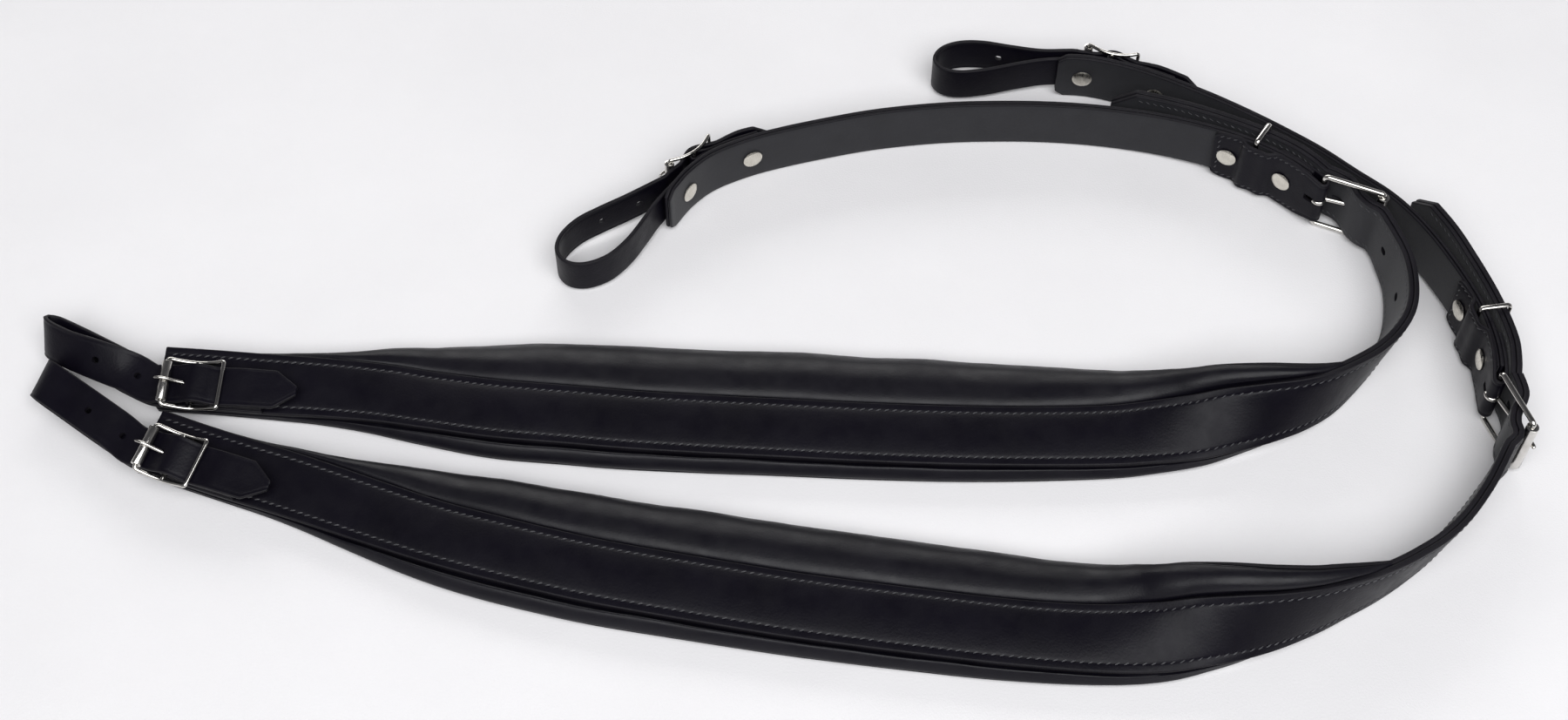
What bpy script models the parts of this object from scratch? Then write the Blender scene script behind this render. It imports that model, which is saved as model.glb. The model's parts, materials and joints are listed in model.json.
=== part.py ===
"""A pair of padded leather accordion shoulder straps, lying on a table.

Each strap is a U: a padded shoulder piece with a stitched top band, which runs
on as the main strap, turns on edge and passes through a large roller buckle on
the upper strap.  Both ends carry a small loop billet with its own roller buckle.
All sizes below are in millimetres and are scaled to metres when meshes are made.
"""
import math

import bmesh
import bpy
from mathutils import Vector

MM = 0.001

# --- leather -----------------------------------------------------------------
MAIN_W = 35.0
MAIN_T = 3.0
MAIN_LINING_T = 2.7
UPPER_W = 32.0
UPPER_T = 2.2
UPPER_LINING_T = 1.8
SMALL_W = 22.0
SMALL_T = 2.3
TAB_T = 1.4
CHAPE_T = 2.0
STEP = 12.0

# --- pad ---------------------------------------------------------------------
PAD_LINING_LOW = 0.2
PAD_LINING_TOP = 1.8
COVER_LOW = 2.25
COVER_T = 1.3

# --- small roller buckles ----------------------------------------------------
S_INNER = 23.6
S_WIRE = 1.4
S_REACH = 15.0
S_RISE = 4.4
S_ROLLER_R = 2.8
S_PRONG_R = 0.95
S_BASE = 6.5

# --- large roller buckles ----------------------------------------------------
L_INNER = 36.4
L_WIRE = 1.6
L_REACH = 34.0
L_ROLLER_R = 3.3
L_PRONG_R = 1.35

# --- rivets and keepers ------------------------------------------------------
RIVET_R = 5.8
RIVET_BACK_R = 5.0
RIVET_HEAD = 1.2
SHANK_R = 1.6
SHANK_HOLE_R = 1.8
KEEPER_W = 3.4
KEEPER_T = 2.2
KEEPER_INNER_H = 36.4

UP = Vector((0.0, 0.0, 1.0))

COLOURS = {
    "black_leather": ((0.018, 0.017, 0.019), 0.0, 0.42),
    "lining_leather": ((0.055, 0.055, 0.058), 0.0, 0.7),
    "foam": ((0.16, 0.16, 0.165), 0.0, 0.95),
    "plated_wire": ((0.80, 0.78, 0.74), 1.0, 0.14),
    "plated_roller": ((0.84, 0.82, 0.78), 1.0, 0.2),
    "rivet_metal": ((0.78, 0.76, 0.70), 1.0, 0.3),
}


# --- small helpers -----------------------------------------------------------
def clear_scene():
    for obj in list(bpy.data.objects):
        bpy.data.objects.remove(obj, do_unlink=True)
    for mesh in list(bpy.data.meshes):
        bpy.data.meshes.remove(mesh)


def table(rows, x):
    """Piecewise-linear value of x in rows of (x, value)."""
    if x <= rows[0][0]:
        return rows[0][1]
    for (x0, y0), (x1, y1) in zip(rows, rows[1:]):
        if x <= x1:
            return y0 + (y1 - y0) * (x - x0) / (x1 - x0)
    return rows[-1][1]


def stations(s0, s1, step=STEP, extra=()):
    """Both ends, the whole multiples of step between them, and any extras."""
    marks = [k * step for k in range(int(s0 / step), int(s1 / step) + 2)]
    inner = [s for s in marks if s0 + 0.3 * step < s < s1 - 0.3 * step]
    near = [s for s in extra if s0 < s < s1]
    inner = [s for s in inner if all(abs(s - e) > 1.0 for e in near)]
    return sorted([s0, s1] + inner + near)


def material(name):
    found = bpy.data.materials.get(name)
    if found:
        return found
    colour, metallic, rough = COLOURS[name]
    mat = bpy.data.materials.new(name)
    mat.use_nodes = True
    shader = mat.node_tree.nodes["Principled BSDF"]
    shader.inputs["Base Color"].default_value = (*colour, 1.0)
    shader.inputs["Metallic"].default_value = metallic
    shader.inputs["Roughness"].default_value = rough
    mat.diffuse_color = (*colour, 1.0)
    return mat


def make_object(name, slot, verts, faces):
    mesh = bpy.data.meshes.new(name)
    mesh.from_pydata([v * MM for v in verts], [], faces)
    bm = bmesh.new()
    bm.from_mesh(mesh)
    bmesh.ops.recalc_face_normals(bm, faces=bm.faces)
    bmesh.ops.triangulate(bm, faces=bm.faces)
    if bm.calc_volume(signed=True) < 0.0:
        bmesh.ops.reverse_faces(bm, faces=bm.faces)
    bm.to_mesh(mesh)
    bm.free()
    obj = bpy.data.objects.new(name, mesh)
    mesh.materials.append(material(slot))
    bpy.context.scene.collection.objects.link(obj)
    return obj


def set_origin(obj, point):
    shift = point * MM
    for vert in obj.data.vertices:
        vert.co -= shift
    obj.location = shift


def boolean(obj, cutter, operation):
    """Cut or join with a second body, then drop the second body."""
    modifier = obj.modifiers.new("shape", "BOOLEAN")
    modifier.operation = operation
    modifier.solver = "EXACT"
    modifier.object = cutter
    graph = bpy.context.evaluated_depsgraph_get()
    result = bpy.data.meshes.new_from_object(obj.evaluated_get(graph))
    old = obj.data
    obj.modifiers.clear()
    result.name = old.name
    obj.data = result
    bpy.data.meshes.remove(old)
    bpy.data.objects.remove(cutter, do_unlink=True)
    bm = bmesh.new()
    bm.from_mesh(result)
    bmesh.ops.triangulate(bm, faces=bm.faces)
    bmesh.ops.remove_doubles(bm, verts=bm.verts, dist=2e-6)
    bm.to_mesh(result)
    bm.free()
    return obj


# --- routes: a smooth line with a width direction ----------------------------
def blend(p0, p1, p2, p3, t):
    a = p1 * 2.0
    b = (p2 - p0) * t
    c = (p0 * 2.0 - p1 * 5.0 + p2 * 4.0 - p3) * (t * t)
    d = (p1 * 3.0 - p0 - p2 * 3.0 + p3) * (t * t * t)
    return (a + b + c + d) * 0.5


def smooth_line(points, per_segment):
    ends = [points[0] * 2.0 - points[1]] + list(points)
    ends.append(points[-1] * 2.0 - points[-2])
    line = []
    for i in range(len(points) - 1):
        for k in range(per_segment):
            line.append(blend(ends[i], ends[i + 1], ends[i + 2], ends[i + 3], k / per_segment))
    line.append(points[-1].copy())
    return line


class Route:
    """A line with arc length, tangent T, width direction W and normal N = T x W."""

    def __init__(self, points, banks=None, widths=None, per_segment=12):
        self.line = smooth_line([Vector(p) for p in points], per_segment)
        if banks is not None:
            rows = smooth_line([Vector((b, 0.0, 0.0)) for b in banks], per_segment)
            self.banks = [row.x for row in rows]
            self.widths = None
        else:
            self.widths = smooth_line([Vector(w) for w in widths], per_segment)
        self.marks = [0.0]
        for a, b in zip(self.line, self.line[1:]):
            self.marks.append(self.marks[-1] + (b - a).length)
        self.length = self.marks[-1]
        self.frames = [self.frame(i) for i in range(len(self.line))]

    def frame(self, i):
        low, high = max(i - 1, 0), min(i + 1, len(self.line) - 1)
        tangent = (self.line[high] - self.line[low]).normalized()
        if self.widths is None:
            left = UP.cross(tangent).normalized()
            angle = math.radians(self.banks[i])
            width = left * math.cos(angle) + UP * math.sin(angle)
        else:
            width = self.widths[i]
        width = (width - tangent * width.dot(tangent)).normalized()
        return tangent, width

    def at(self, s):
        s = min(max(s, 0.0), self.length)
        i = 0
        while i < len(self.marks) - 2 and self.marks[i + 1] < s:
            i += 1
        t = (s - self.marks[i]) / max(self.marks[i + 1] - self.marks[i], 1e-9)
        point = self.line[i].lerp(self.line[i + 1], t)
        tangent = self.frames[i][0].lerp(self.frames[i + 1][0], t).normalized()
        width = self.frames[i][1].lerp(self.frames[i + 1][1], t)
        width = (width - tangent * width.dot(tangent)).normalized()
        return point, tangent, width, tangent.cross(width)

    def point(self, s, w, n):
        base, _, width, normal = self.at(s)
        return base + width * w + normal * n

    def nearest(self, target):
        flat = Vector(target)
        best = min(range(len(self.line)), key=lambda i: (self.line[i] - flat).length)
        return self.marks[best]


def sweep(name, slot, route, marks, section):
    """Closed body through the section polygons; every layer is split along the same diagonal."""
    first = section(marks[len(marks) // 2])
    rings = [[route.point(s, w, n) for w, n in section(s)] for s in marks]
    count = len(rings[0])
    verts = [v for ring in rings for v in ring]
    faces = [list(range(count)), list(range(len(verts) - count, len(verts)))]
    for r in range(len(rings) - 1):
        low = r * count
        for k in range(count):
            nxt = (k + 1) % count
            if first[k][0] <= first[nxt][0]:
                faces.append([low + k, low + nxt, low + count + nxt])
                faces.append([low + k, low + count + nxt, low + count + k])
            else:
                faces.append([low + k, low + nxt, low + count + k])
                faces.append([low + nxt, low + count + nxt, low + count + k])
    return make_object(name, slot, verts, faces)


def strap(name, slot, route, marks, half, low, high):
    """A flat strap: half(s) is its half width, low(s) and high(s) its two faces."""
    def section(s):
        w = half(s)
        return [(-w, low(s)), (w, low(s)), (w, high(s)), (-w, high(s))]
    return sweep(name, slot, route, marks, section)


# --- round bodies ------------------------------------------------------------
def tube(name, slot, path, reference, radius, sides, closed, flat=1.0):
    """Round or oval wire along a path; reference is never along the wire."""
    count = len(path)
    verts = []
    for i, point in enumerate(path):
        before = path[(i - 1) % count] if closed or i else path[0]
        after = path[(i + 1) % count] if closed or i < count - 1 else path[-1]
        along = (after - before).normalized()
        up = (reference - along * reference.dot(along)).normalized()
        side = along.cross(up)
        for k in range(sides):
            turn = 2.0 * math.pi * (k + 0.5) / sides
            verts.append(point + side * (radius * flat * math.cos(turn))
                         + up * (radius * math.sin(turn)))
    faces = []
    for i in range(count if closed else count - 1):
        a, b = i * sides, ((i + 1) % count) * sides
        for k in range(sides):
            nxt = (k + 1) % sides
            faces.append([a + k, a + nxt, b + nxt, b + k])
    if not closed:
        faces.append(list(range(sides)))
        faces.append(list(range((count - 1) * sides, count * sides)))
    return make_object(name, slot, verts, faces)


def turned(name, slot, centre, axis, profile, sides):
    """Solid or ring of revolution; a profile is a closed list of (radius, height)."""
    side = axis.orthogonal().normalized()
    other = axis.cross(side)
    verts, rows = [], []
    for radius, height in profile:
        base = centre + axis * height
        if radius < 1e-6:
            rows.append([len(verts)] * sides)
            verts.append(base)
            continue
        rows.append(list(range(len(verts), len(verts) + sides)))
        for k in range(sides):
            turn = 2.0 * math.pi * k / sides
            verts.append(base + side * (radius * math.cos(turn)) + other * (radius * math.sin(turn)))
    faces = []
    pairs = list(zip(rows, rows[1:]))
    if profile[0][0] > 1e-6:
        pairs.append((rows[-1], rows[0]))
    for low, high in pairs:
        for k in range(sides):
            nxt = (k + 1) % sides
            face = []
            for v in (low[k], low[nxt], high[nxt], high[k]):
                if v not in face:
                    face.append(v)
            faces.append(face)
    return make_object(name, slot, verts, faces)


def rod(name, centre, axis, radius, half_length, sides=10):
    profile = [(0.0, -half_length), (radius, -half_length), (radius, half_length), (0.0, half_length)]
    return turned(name, "plated_wire", centre, axis, profile, sides)


def punch(obj, centre, axis, radius, half_length, along=None, stretch=0.0):
    """Round hole, or an oval one stretched along a direction."""
    if along is None:
        cutter = rod("cutter", centre, axis, radius, half_length, 8)
        return boolean(obj, cutter, "DIFFERENCE")
    across = axis.cross(along).normalized()
    verts, count = [], 8
    for level in (-half_length, half_length):
        for k in range(count):
            turn = 2.0 * math.pi * (k + 0.5) / count
            push = stretch if math.cos(turn) > 0 else -stretch
            verts.append(centre + axis * level + along * (radius * math.cos(turn) + push)
                         + across * (radius * math.sin(turn)))
    faces = [list(range(count)), list(range(count, 2 * count))]
    for k in range(count):
        nxt = (k + 1) % count
        faces.append([k, nxt, count + nxt, count + k])
    cutter = make_object("cutter", "plated_wire", verts, faces)
    return boolean(obj, cutter, "DIFFERENCE")


class Frame:
    """Local axes of a buckle: u along the strap, w along the bars, n outwards."""

    def __init__(self, origin, u, w, n, route=None, spot=0.0, sign=1.0, shift=0.0, base=0.0):
        self.origin, self.u, self.w, self.n = origin, u, w, n
        self.route, self.spot, self.sign = route, spot, sign
        self.shift, self.base = shift, base

    def at(self, u, w, n):
        return self.origin + self.u * u + self.w * w + self.n * n

    def follow(self, u, n):
        """The same place measured along the curved strap face under the buckle."""
        return self.route.point(self.spot + self.sign * u, self.shift, self.base + S_BASE + n)

    def follow_width(self, u):
        return self.route.at(self.spot + self.sign * u)[2]


def arc(centre_u, centre_n, radius, start, end, count):
    rows = []
    for k in range(count):
        turn = math.radians(start + (end - start) * k / (count - 1))
        rows.append((centre_u + radius * math.cos(turn), centre_n + radius * math.sin(turn)))
    return rows


# --- hardware ----------------------------------------------------------------
def frame_outline(frame, inner, wire, near_u, far_u, rise, corner):
    """Rounded rectangle of wire centres, dipping to n = 0 in the middle if it has a rise."""
    half = inner / 2.0 + wire
    turns = [(far_u - corner, half - corner, 0.0), (near_u + corner, half - corner, 90.0),
             (near_u + corner, -half + corner, 180.0), (far_u - corner, -half + corner, 270.0)]
    path = []
    reach = max(abs(near_u), abs(far_u))
    for index, (cu, cw, start) in enumerate(turns):
        for u, w in arc(cu, cw, corner, start, start + 90.0, 3):
            path.append(frame.at(u, w, rise * (u / reach) ** 2))
        if rise and index in (0, 2):
            side = cw + corner if index == 0 else cw - corner
            for u in ((7.0, 0.0, -7.0) if index == 0 else (-7.0, 0.0, 7.0)):
                path.append(frame.at(u, side, rise * (u / reach) ** 2))
    return path


def roller(name, frame, u, n, bar_r, radius, inner):
    half = inner / 2.0 - 0.7
    bore = bar_r + 0.1
    profile = [(bore, -half), (radius, -half), (radius, half), (bore, half)]
    centre = frame.at(u, 0.0, n)
    obj = turned(name, "plated_roller", centre, frame.w, profile, 12)
    set_origin(obj, centre)
    return obj


def prong(name, frame, bar_r, radius, rest_u, rest_n, tip_u, roller_n):
    """Hook round the bar, then a straight tongue resting on the roller."""
    bend = bar_r + radius + 0.12
    rows = arc(0.0, 0.0, bend, -40.0, -215.0, 8)
    start_u, start_n = rows[-1]
    lean = math.atan2(rest_n - start_n, start_u - rest_u)
    rest_n += (1.0 / math.cos(lean) - 1.0) * (rest_n - roller_n) + 0.1
    slope = (rest_n - start_n) / (rest_u - start_u)
    rows.append((start_u + (rest_u - start_u) * 0.5, start_n + slope * (rest_u - start_u) * 0.5))
    rows.append((rest_u, rest_n))
    rows.append((tip_u, rest_n - 0.5))
    path = [frame.at(u, 0.0, n) for u, n in rows]
    obj = tube(name, "plated_wire", path, frame.w, radius, 6, False)
    set_origin(obj, frame.origin)
    return obj


def small_buckle(prefix, frame):
    path = frame_outline(frame, S_INNER, S_WIRE, -S_REACH, S_REACH, S_RISE, 2.0)
    body = tube(prefix + "_buckle", "plated_wire", path, frame.n, S_WIRE, 6, True)
    bar = rod("bar", frame.origin, frame.w, S_WIRE, S_INNER / 2.0 + S_WIRE, 6)
    boolean(body, bar, "UNION")
    set_origin(body, frame.origin)
    roller(prefix + "_roller", frame, -S_REACH, S_RISE, S_WIRE, S_ROLLER_R, S_INNER)
    rest = S_RISE + S_ROLLER_R + S_PRONG_R + 0.12
    prong(prefix + "_prong", frame, S_WIRE, S_PRONG_R, -S_REACH, rest, -S_REACH - 4.6, S_RISE)


def large_buckle(prefix, frame):
    path = frame_outline(frame, L_INNER, L_WIRE, -L_REACH, 0.0, 0.0, 2.2)
    body = tube(prefix + "_buckle", "plated_wire", path, frame.n, L_WIRE, 8, True)
    set_origin(body, frame.origin)
    roller(prefix + "_roller", frame, -L_REACH, 0.0, L_WIRE, L_ROLLER_R, L_INNER)
    rest = L_ROLLER_R + L_PRONG_R + 0.12
    prong(prefix + "_prong", frame, L_WIRE, L_PRONG_R, -L_REACH, rest, -L_REACH - 3.2, 0.0)


# --- small strap ends --------------------------------------------------------
def tab(name, frame, length):
    """Leather folded round the middle bar, with a slot for the prong."""
    bend = S_WIRE + 0.2 + TAB_T / 2.0
    rows = [(length, -0.65), (24.0, -0.65), (16.0, -0.65), (9.0, -0.6), (6.0, 0.2), (3.0, 1.8)]
    rows += arc(0.0, 0.0, bend, 75.0, 285.0, 8)
    rows += [(4.0, -bend), (9.0, -bend), (16.0, -bend), (24.0, -bend), (length, -bend)]
    path = [frame.at(u, 0.0, n) if u < 4.5 else frame.follow(u, n) for u, n in rows]
    widths = [frame.w if u < 4.5 else frame.follow_width(u) for u, n in rows]
    route = Route(path, widths=widths, per_segment=1)
    obj = strap(name, "black_leather", route, route.marks, lambda s: SMALL_W / 2.0 - 0.6,
                lambda s: -TAB_T / 2.0, lambda s: TAB_T / 2.0)
    verts, size = [], (-6.0, 4.2, -1.5, 1.5, -6.0, 6.0)
    for u in size[0:2]:
        for w in size[2:4]:
            for n in size[4:6]:
                verts.append(frame.at(u, w, n))
    faces = [[0, 1, 3, 2], [4, 5, 7, 6], [0, 1, 5, 4], [2, 3, 7, 6], [0, 2, 6, 4], [1, 3, 7, 5]]
    cutter = make_object("cutter", "plated_wire", verts, faces)
    return boolean(obj, cutter, "DIFFERENCE")


def billet_rows(tip):
    """Height of the billet's middle through the buckle, from the roller to its tip."""
    return [(-24.0, -1.0), (-19.5, -0.5), (-15.0, 0.1), (-10.0, 0.5), (-5.0, 2.7), (0.0, 4.9), (5.0, 4.3),
            (10.0, 2.1), (15.0, 1.25), (22.0, 2.3), (31.0, 2.9), (tip, 1.8)]


def tip_half(route, width, blunt):
    """Half width that narrows to a blunt point at the end of the route."""
    rows = [(route.length - 12.0, width / 2.0), (route.length, blunt)]
    return lambda s: table(rows, s)


def loop_billet(name, frame, fixed, loop, loop_widths, tip, extra_holes):
    """Fixed leg, loop and billet as one strap."""
    rest = -S_BASE + 0.3 + SMALL_T / 2.0
    points = [frame.follow(u, rest) for u in fixed]
    widths = [frame.follow_width(u) for u in fixed]
    points += loop
    widths += loop_widths
    for u, n in billet_rows(tip):
        points.append(frame.follow(u, n) if u > 6.0 else frame.at(u, 0.0, n))
        widths.append(frame.follow_width(u) if u > 6.0 else frame.w)
    route = Route(points, widths=widths, per_segment=6)
    marks = stations(0.0, route.length, 6.0, (route.length - 12.0, route.length - 5.0))
    half = tip_half(route, SMALL_W, 3.5)
    obj = strap(name, "black_leather", route, marks, half,
                lambda s: -SMALL_T / 2.0, lambda s: SMALL_T / 2.0)
    reach = Vector((-11.0, 0.0, 6.6)).normalized()
    along = frame.u * reach.x + frame.n * reach.z
    punch(obj, frame.at(-5.2, 0.0, 2.9), along, 1.35, 5.2, along.cross(frame.w).normalized(), 0.6)
    for s in extra_holes(route):
        centre, tangent, _, normal = route.at(s)
        punch(obj, centre, normal, 1.6, 3.0, tangent, 0.5)
    return obj


# --- the two straps ----------------------------------------------------------
LOWER_A = [
    (-337, -19.0, 5.6, 13), (-310, -20.5, 4.7, 13), (-286, -22.5, 4.3, 13), (-268, -24, 3.9, 12), (-246, -26, 2.9, 8.5),
    (-217, -30, 1.5, 4), (-190, -35.5, 0.2, 0), (-153, -42, 0, 0), (-116, -46, 0, 0),
    (-83, -49.5, 0, 0), (-42, -52.5, 0, 0), (0, -55, 0, 0), (40, -57.5, 0, 0),
    (88, -59.5, 0, 0), (130, -60, 0, 0), (172, -59, 0.6, 2), (196, -56.5, 2.6, 7),
    (217, -53, 7.0, 20), (236, -48, 12.4, 37), (254, -43.5, 16.8, 54), (271, -38.5, 18.9, 68),
    (287, -31.5, 19.6, 80), (302, -22, 19.4, 90), (316, -12, 18.9, 98), (327.5, -1, 18.7, 102),
    (336, 12, 18.7, 103), (340.5, 28.5, 18.9, 101), (341.5, 46, 19.4, 97), (338.8, 61.6, 20, 93), (336.4, 71, 20.6, 90),
]
UPPER_A = [
    (305, 98, 21.6), (297, 107, 21.4), (288.6, 115.5, 21), (275, 126.5, 20.4), (259, 136, 19.6),
    (243, 143.5, 18.8), (222, 151, 17.8), (200, 156.5, 17), (175, 160.5, 16.6), (150, 162.5, 16.4),
    (125, 162.8, 16.4), (100, 162, 16.4), (75, 159.5, 16.4), (50, 155.5, 16.4), (25, 149.5, 16.4),
    (0, 142.5, 16.4), (-21, 135, 16.4), (-41, 124.5, 16.4), (-54, 112, 16.4), (-62.5, 99, 16.4),
    (-66, 92, 16.4),
]
LOWER_B = [
    (-336, -60.0, 5.6, 12), (-310, -69.5, 4.7, 12), (-285, -78.3, 4.3, 12), (-262, -86, 3.5, 11),
    (-240, -94.5, 2.6, 8), (-213, -105.5, 1.3, 4), (-180, -118.5, 0.1, 0), (-150, -128, 0, 0),
    (-120, -136.5, 0, 0), (-90, -144, 0, 0), (-45, -153, 0, 0), (0, -161.5, 0, 0),
    (35, -167, 0, 0), (70, -172, 0, 0), (104, -176.5, 0, 0), (137, -179.5, 0.2, 1),
    (163, -180.5, 1.6, 5), (186, -179, 5.2, 15), (207, -175, 11.0, 32), (227, -171, 16.0, 50),
    (246, -166.5, 18.9, 66), (264, -161, 19.7, 78), (281, -154, 19.4, 87), (298, -146.5, 18.9, 93),
    (314, -138.5, 18.5, 97), (329, -130, 18.5, 100), (343, -118.5, 18.6, 101), (356.5, -103.5, 18.9, 98),
    (366.8, -89.8, 19.3, 94), (374.2, -80, 20.2, 90),
]
# the main strap enters inside the roller bar and leaves outside the heel bar
CROSSING = [(-34.5, -8.0), (-28.0, -6.3), (-22.0, -2.6), (-17.5, 2.4), (-12.5, 6.6), (-6.0, 8.5), (1.0, 9.7)]
UPPER_B = [
    (377, -39, 21.6), (379.4, -24, 21.4), (379.6, -8, 21), (377.4, 10, 20.4), (373.2, 27, 19.8),
    (367.4, 45, 19), (360.6, 62.5, 18.2), (352.4, 78.8, 17.4), (341.8, 94, 16.8), (326, 109.5, 16.6),
    (309.5, 126, 16.5), (292, 140.5, 16.4), (274, 154, 16.4), (255, 166.8, 16.4), (241, 175.2, 16.4),
    (225, 184, 16.4), (207, 192.4, 16.4), (188, 198.6, 16.4), (176, 200.6, 16.4), (164, 201, 16.4),
]

TAIL_OFFSETS = [(10.0, 8.1), (24.0, 8.9), (45.0, 8.5), (60.0, 8.8), (80.0, 9.8), (104.0, 11.6), (132.0, 13.8)]
TAIL_STARTS = [10.0, 17.0, 24.0, 34.0, 45.0, 60.0, 80.0, 104.0, 132.0]

PAD_FAR = [(0.0, 19.0), (0.08, 19.0), (0.145, 24.0), (0.215, 37.0), (0.29, 47.0), (0.385, 51.0),
           (0.52, 53.0), (0.67, 52.0), (0.77, 47.5), (0.83, 40.5), (0.88, 33.0), (0.925, 27.0), (0.96, 22.5),
           (1.0, 20.0)]
PAD_NEAR = [(0.0, 17.4), (0.08, 17.4), (0.145, 18.6), (0.215, 21.5), (0.29, 24.0), (0.385, 23.5),
            (0.52, 22.0), (0.67, 21.0), (0.8, 19.4), (0.88, 18.4), (1.0, 17.8)]
BAND_BASE = [(0.0, 5.6), (0.1, 5.6), (0.145, 6.8), (0.215, 9.2), (0.29, 11.0), (0.385, 11.6),
             (0.52, 11.6), (0.67, 11.6), (0.82, 10.6), (0.88, 9.2), (0.925, 7.8), (0.96, 6.6),
             (1.0, 5.8), (1.07, 0.4), (1.1, 0.1)]
BAND_SLOPE = [(0.0, 0.0), (0.1, 0.0), (0.215, 1.2), (0.29, 2.0), (0.82, 2.0), (0.925, 1.0), (1.0, 0.0)]
ROLL_RISE = [(0.0, 0.0), (0.1, 0.0), (0.2, 2.4), (0.29, 4.6), (0.52, 5.4), (0.82, 4.6), (0.9, 2.6),
             (0.97, 0.5), (1.0, 0.0)]


class PadShape:
    """Section of the padded part as a function of the distance along the band."""

    def __init__(self, length, fullness):
        self.length, self.fullness = length, fullness

    def sizes(self, s):
        f = s / self.length
        far = table(PAD_FAR, f)
        far = 19.0 + (far - 19.0) * self.fullness
        near = table(PAD_NEAR, f)
        return far, near, table(BAND_BASE, f), table(BAND_SLOPE, f), table(ROLL_RISE, f)

    def outer(self, s):
        far, near, base, slope, rise = self.sizes(s)
        top_far, top_near = base + slope - 0.35, base - slope - 0.35
        crest = min(17.9, far - 3.4)
        room = far - crest
        tall = top_far + rise - COVER_LOW
        bulge = 1.3 * min(1.0, tall / 12.0)
        return [(-near + 0.7, COVER_LOW), (-near - bulge, COVER_LOW + 0.45 * (top_near - COVER_LOW)),
                (-near + 0.9, top_near - 0.5), (-near + 3.0, top_near), (crest, top_far),
                (crest + room * 0.22, top_far + rise * 0.72), (crest + room * 0.5, top_far + rise),
                (crest + room * 0.8, COVER_LOW + tall * 0.8), (far, COVER_LOW + tall * 0.42),
                (far - 1.6, COVER_LOW)]

    def inner(self, s, gap):
        """The same outline moved in by gap, without the bottom line."""
        o = self.outer(s)
        return [(o[0][0] + gap, COVER_LOW), (o[1][0] + gap, o[1][1]), (o[2][0] + gap, o[2][1] - gap),
                (o[4][0], o[4][1] - gap), (o[6][0], o[6][1] - gap),
                (o[7][0] - gap * 0.75, o[7][1] - gap * 0.75), (o[8][0] - gap, o[8][1]),
                (o[9][0] - gap, COVER_LOW)]

    def cover(self, s):
        return self.outer(s) + list(reversed(self.inner(s, COVER_T)))

    def foam(self, s):
        rows = self.inner(s, COVER_T + 0.35)
        rows[0] = (rows[0][0] + 0.2, COVER_LOW + 0.1)
        rows[-1] = (rows[-1][0] - 0.2, COVER_LOW + 0.1)
        return rows

    def lining(self, s):
        far, near, _, _, _ = self.sizes(s)
        low, high = -near + 0.4, far - 1.0
        return [(low, PAD_LINING_LOW), (high, PAD_LINING_LOW), (high, PAD_LINING_TOP), (low, PAD_LINING_TOP)]


def pad_marks(s0, s1, turn):
    """Stations three steps apart while the pad lies flat, one step apart where it turns."""
    rows = stations(s0, s1, STEP)
    inner = [s for s in rows[1:-1] if s > turn or s < 70.0 or round(s / STEP) % 3 == 0]
    return [rows[0]] + inner + [rows[-1]]


def build_pad(prefix, route, shape):
    cover_marks = pad_marks(0.0, shape.length, shape.length * 0.72)
    foam_marks = pad_marks(STEP * 9.0, STEP * int(shape.length * 0.94 / STEP), shape.length * 0.72)
    cover = sweep(prefix + "_pad_cover", "black_leather", route, cover_marks, shape.cover)
    sweep(prefix + "_pad_foam", "foam", route, foam_marks, shape.foam)
    lining = sweep(prefix + "_pad_lining", "lining_leather", route, cover_marks, shape.lining)
    return cover, lining


def build_main(prefix, route, shape):
    """Top band and main strap in one piece, and the lining of its free part."""
    end = route.length
    start = shape.length + 3.0
    flat = pad_marks(0.0, shape.length, shape.length * 0.72)
    marks = flat + stations(start, end, STEP, (end - 14.0,))

    def half(s):
        return table([(end - 14.0, MAIN_W / 2.0), (end, 7.0)], s)

    def base(s):
        return table(BAND_BASE, s / shape.length)

    def section(s):
        w, h, k = half(s), base(s), table(BAND_SLOPE, s / shape.length)
        return [(-w, h - k), (w, h + k), (w, h + k + MAIN_T), (-w, h - k + MAIN_T)]

    main = sweep(prefix + "_main_strap", "black_leather", route, marks, section)
    free = stations(start, end, STEP, (end - 14.0,))
    lining = strap(prefix + "_main_lining", "lining_leather", route, free, lambda s: half(s) - 0.4,
                   lambda s: base(s) - 0.2 - MAIN_LINING_T, lambda s: base(s) - 0.2)
    return main, lining


def build_upper(prefix, route):
    """Upper strap: grain layer outside, lining layer inside."""
    marks = stations(8.0, route.length, STEP, (route.length - 6.0,))
    end = route.length

    def half(s):
        return table([(end - 6.0, UPPER_W / 2.0), (end, UPPER_W / 2.0 - 5.0)], s)

    outer = strap(prefix + "_upper_strap", "black_leather", route, marks, half,
                  lambda s: 0.1, lambda s: 0.1 + UPPER_T)
    inner = strap(prefix + "_upper_lining", "lining_leather", route, marks, lambda s: half(s) - 0.3,
                  lambda s: -0.1 - UPPER_LINING_T, lambda s: -0.1)
    return outer, inner


CHAPE_STANDOFF = [(12.0, 3.25), (30.5, 3.25), (35.5, 6.5), (49.0, 6.5), (53.5, 3.25), (74.0, 3.25)]
CHAPE_HALF = [(-6.0, 15.0), (4.0, 16.0), (12.0, 18.4), (30.0, 18.2), (41.0, 16.9), (52.0, 18.2),
              (64.0, 18.0), (69.0, 16.0)]
RIVET_AT = (24.0, 60.0)
KEEPER_AT = 44.0


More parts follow.
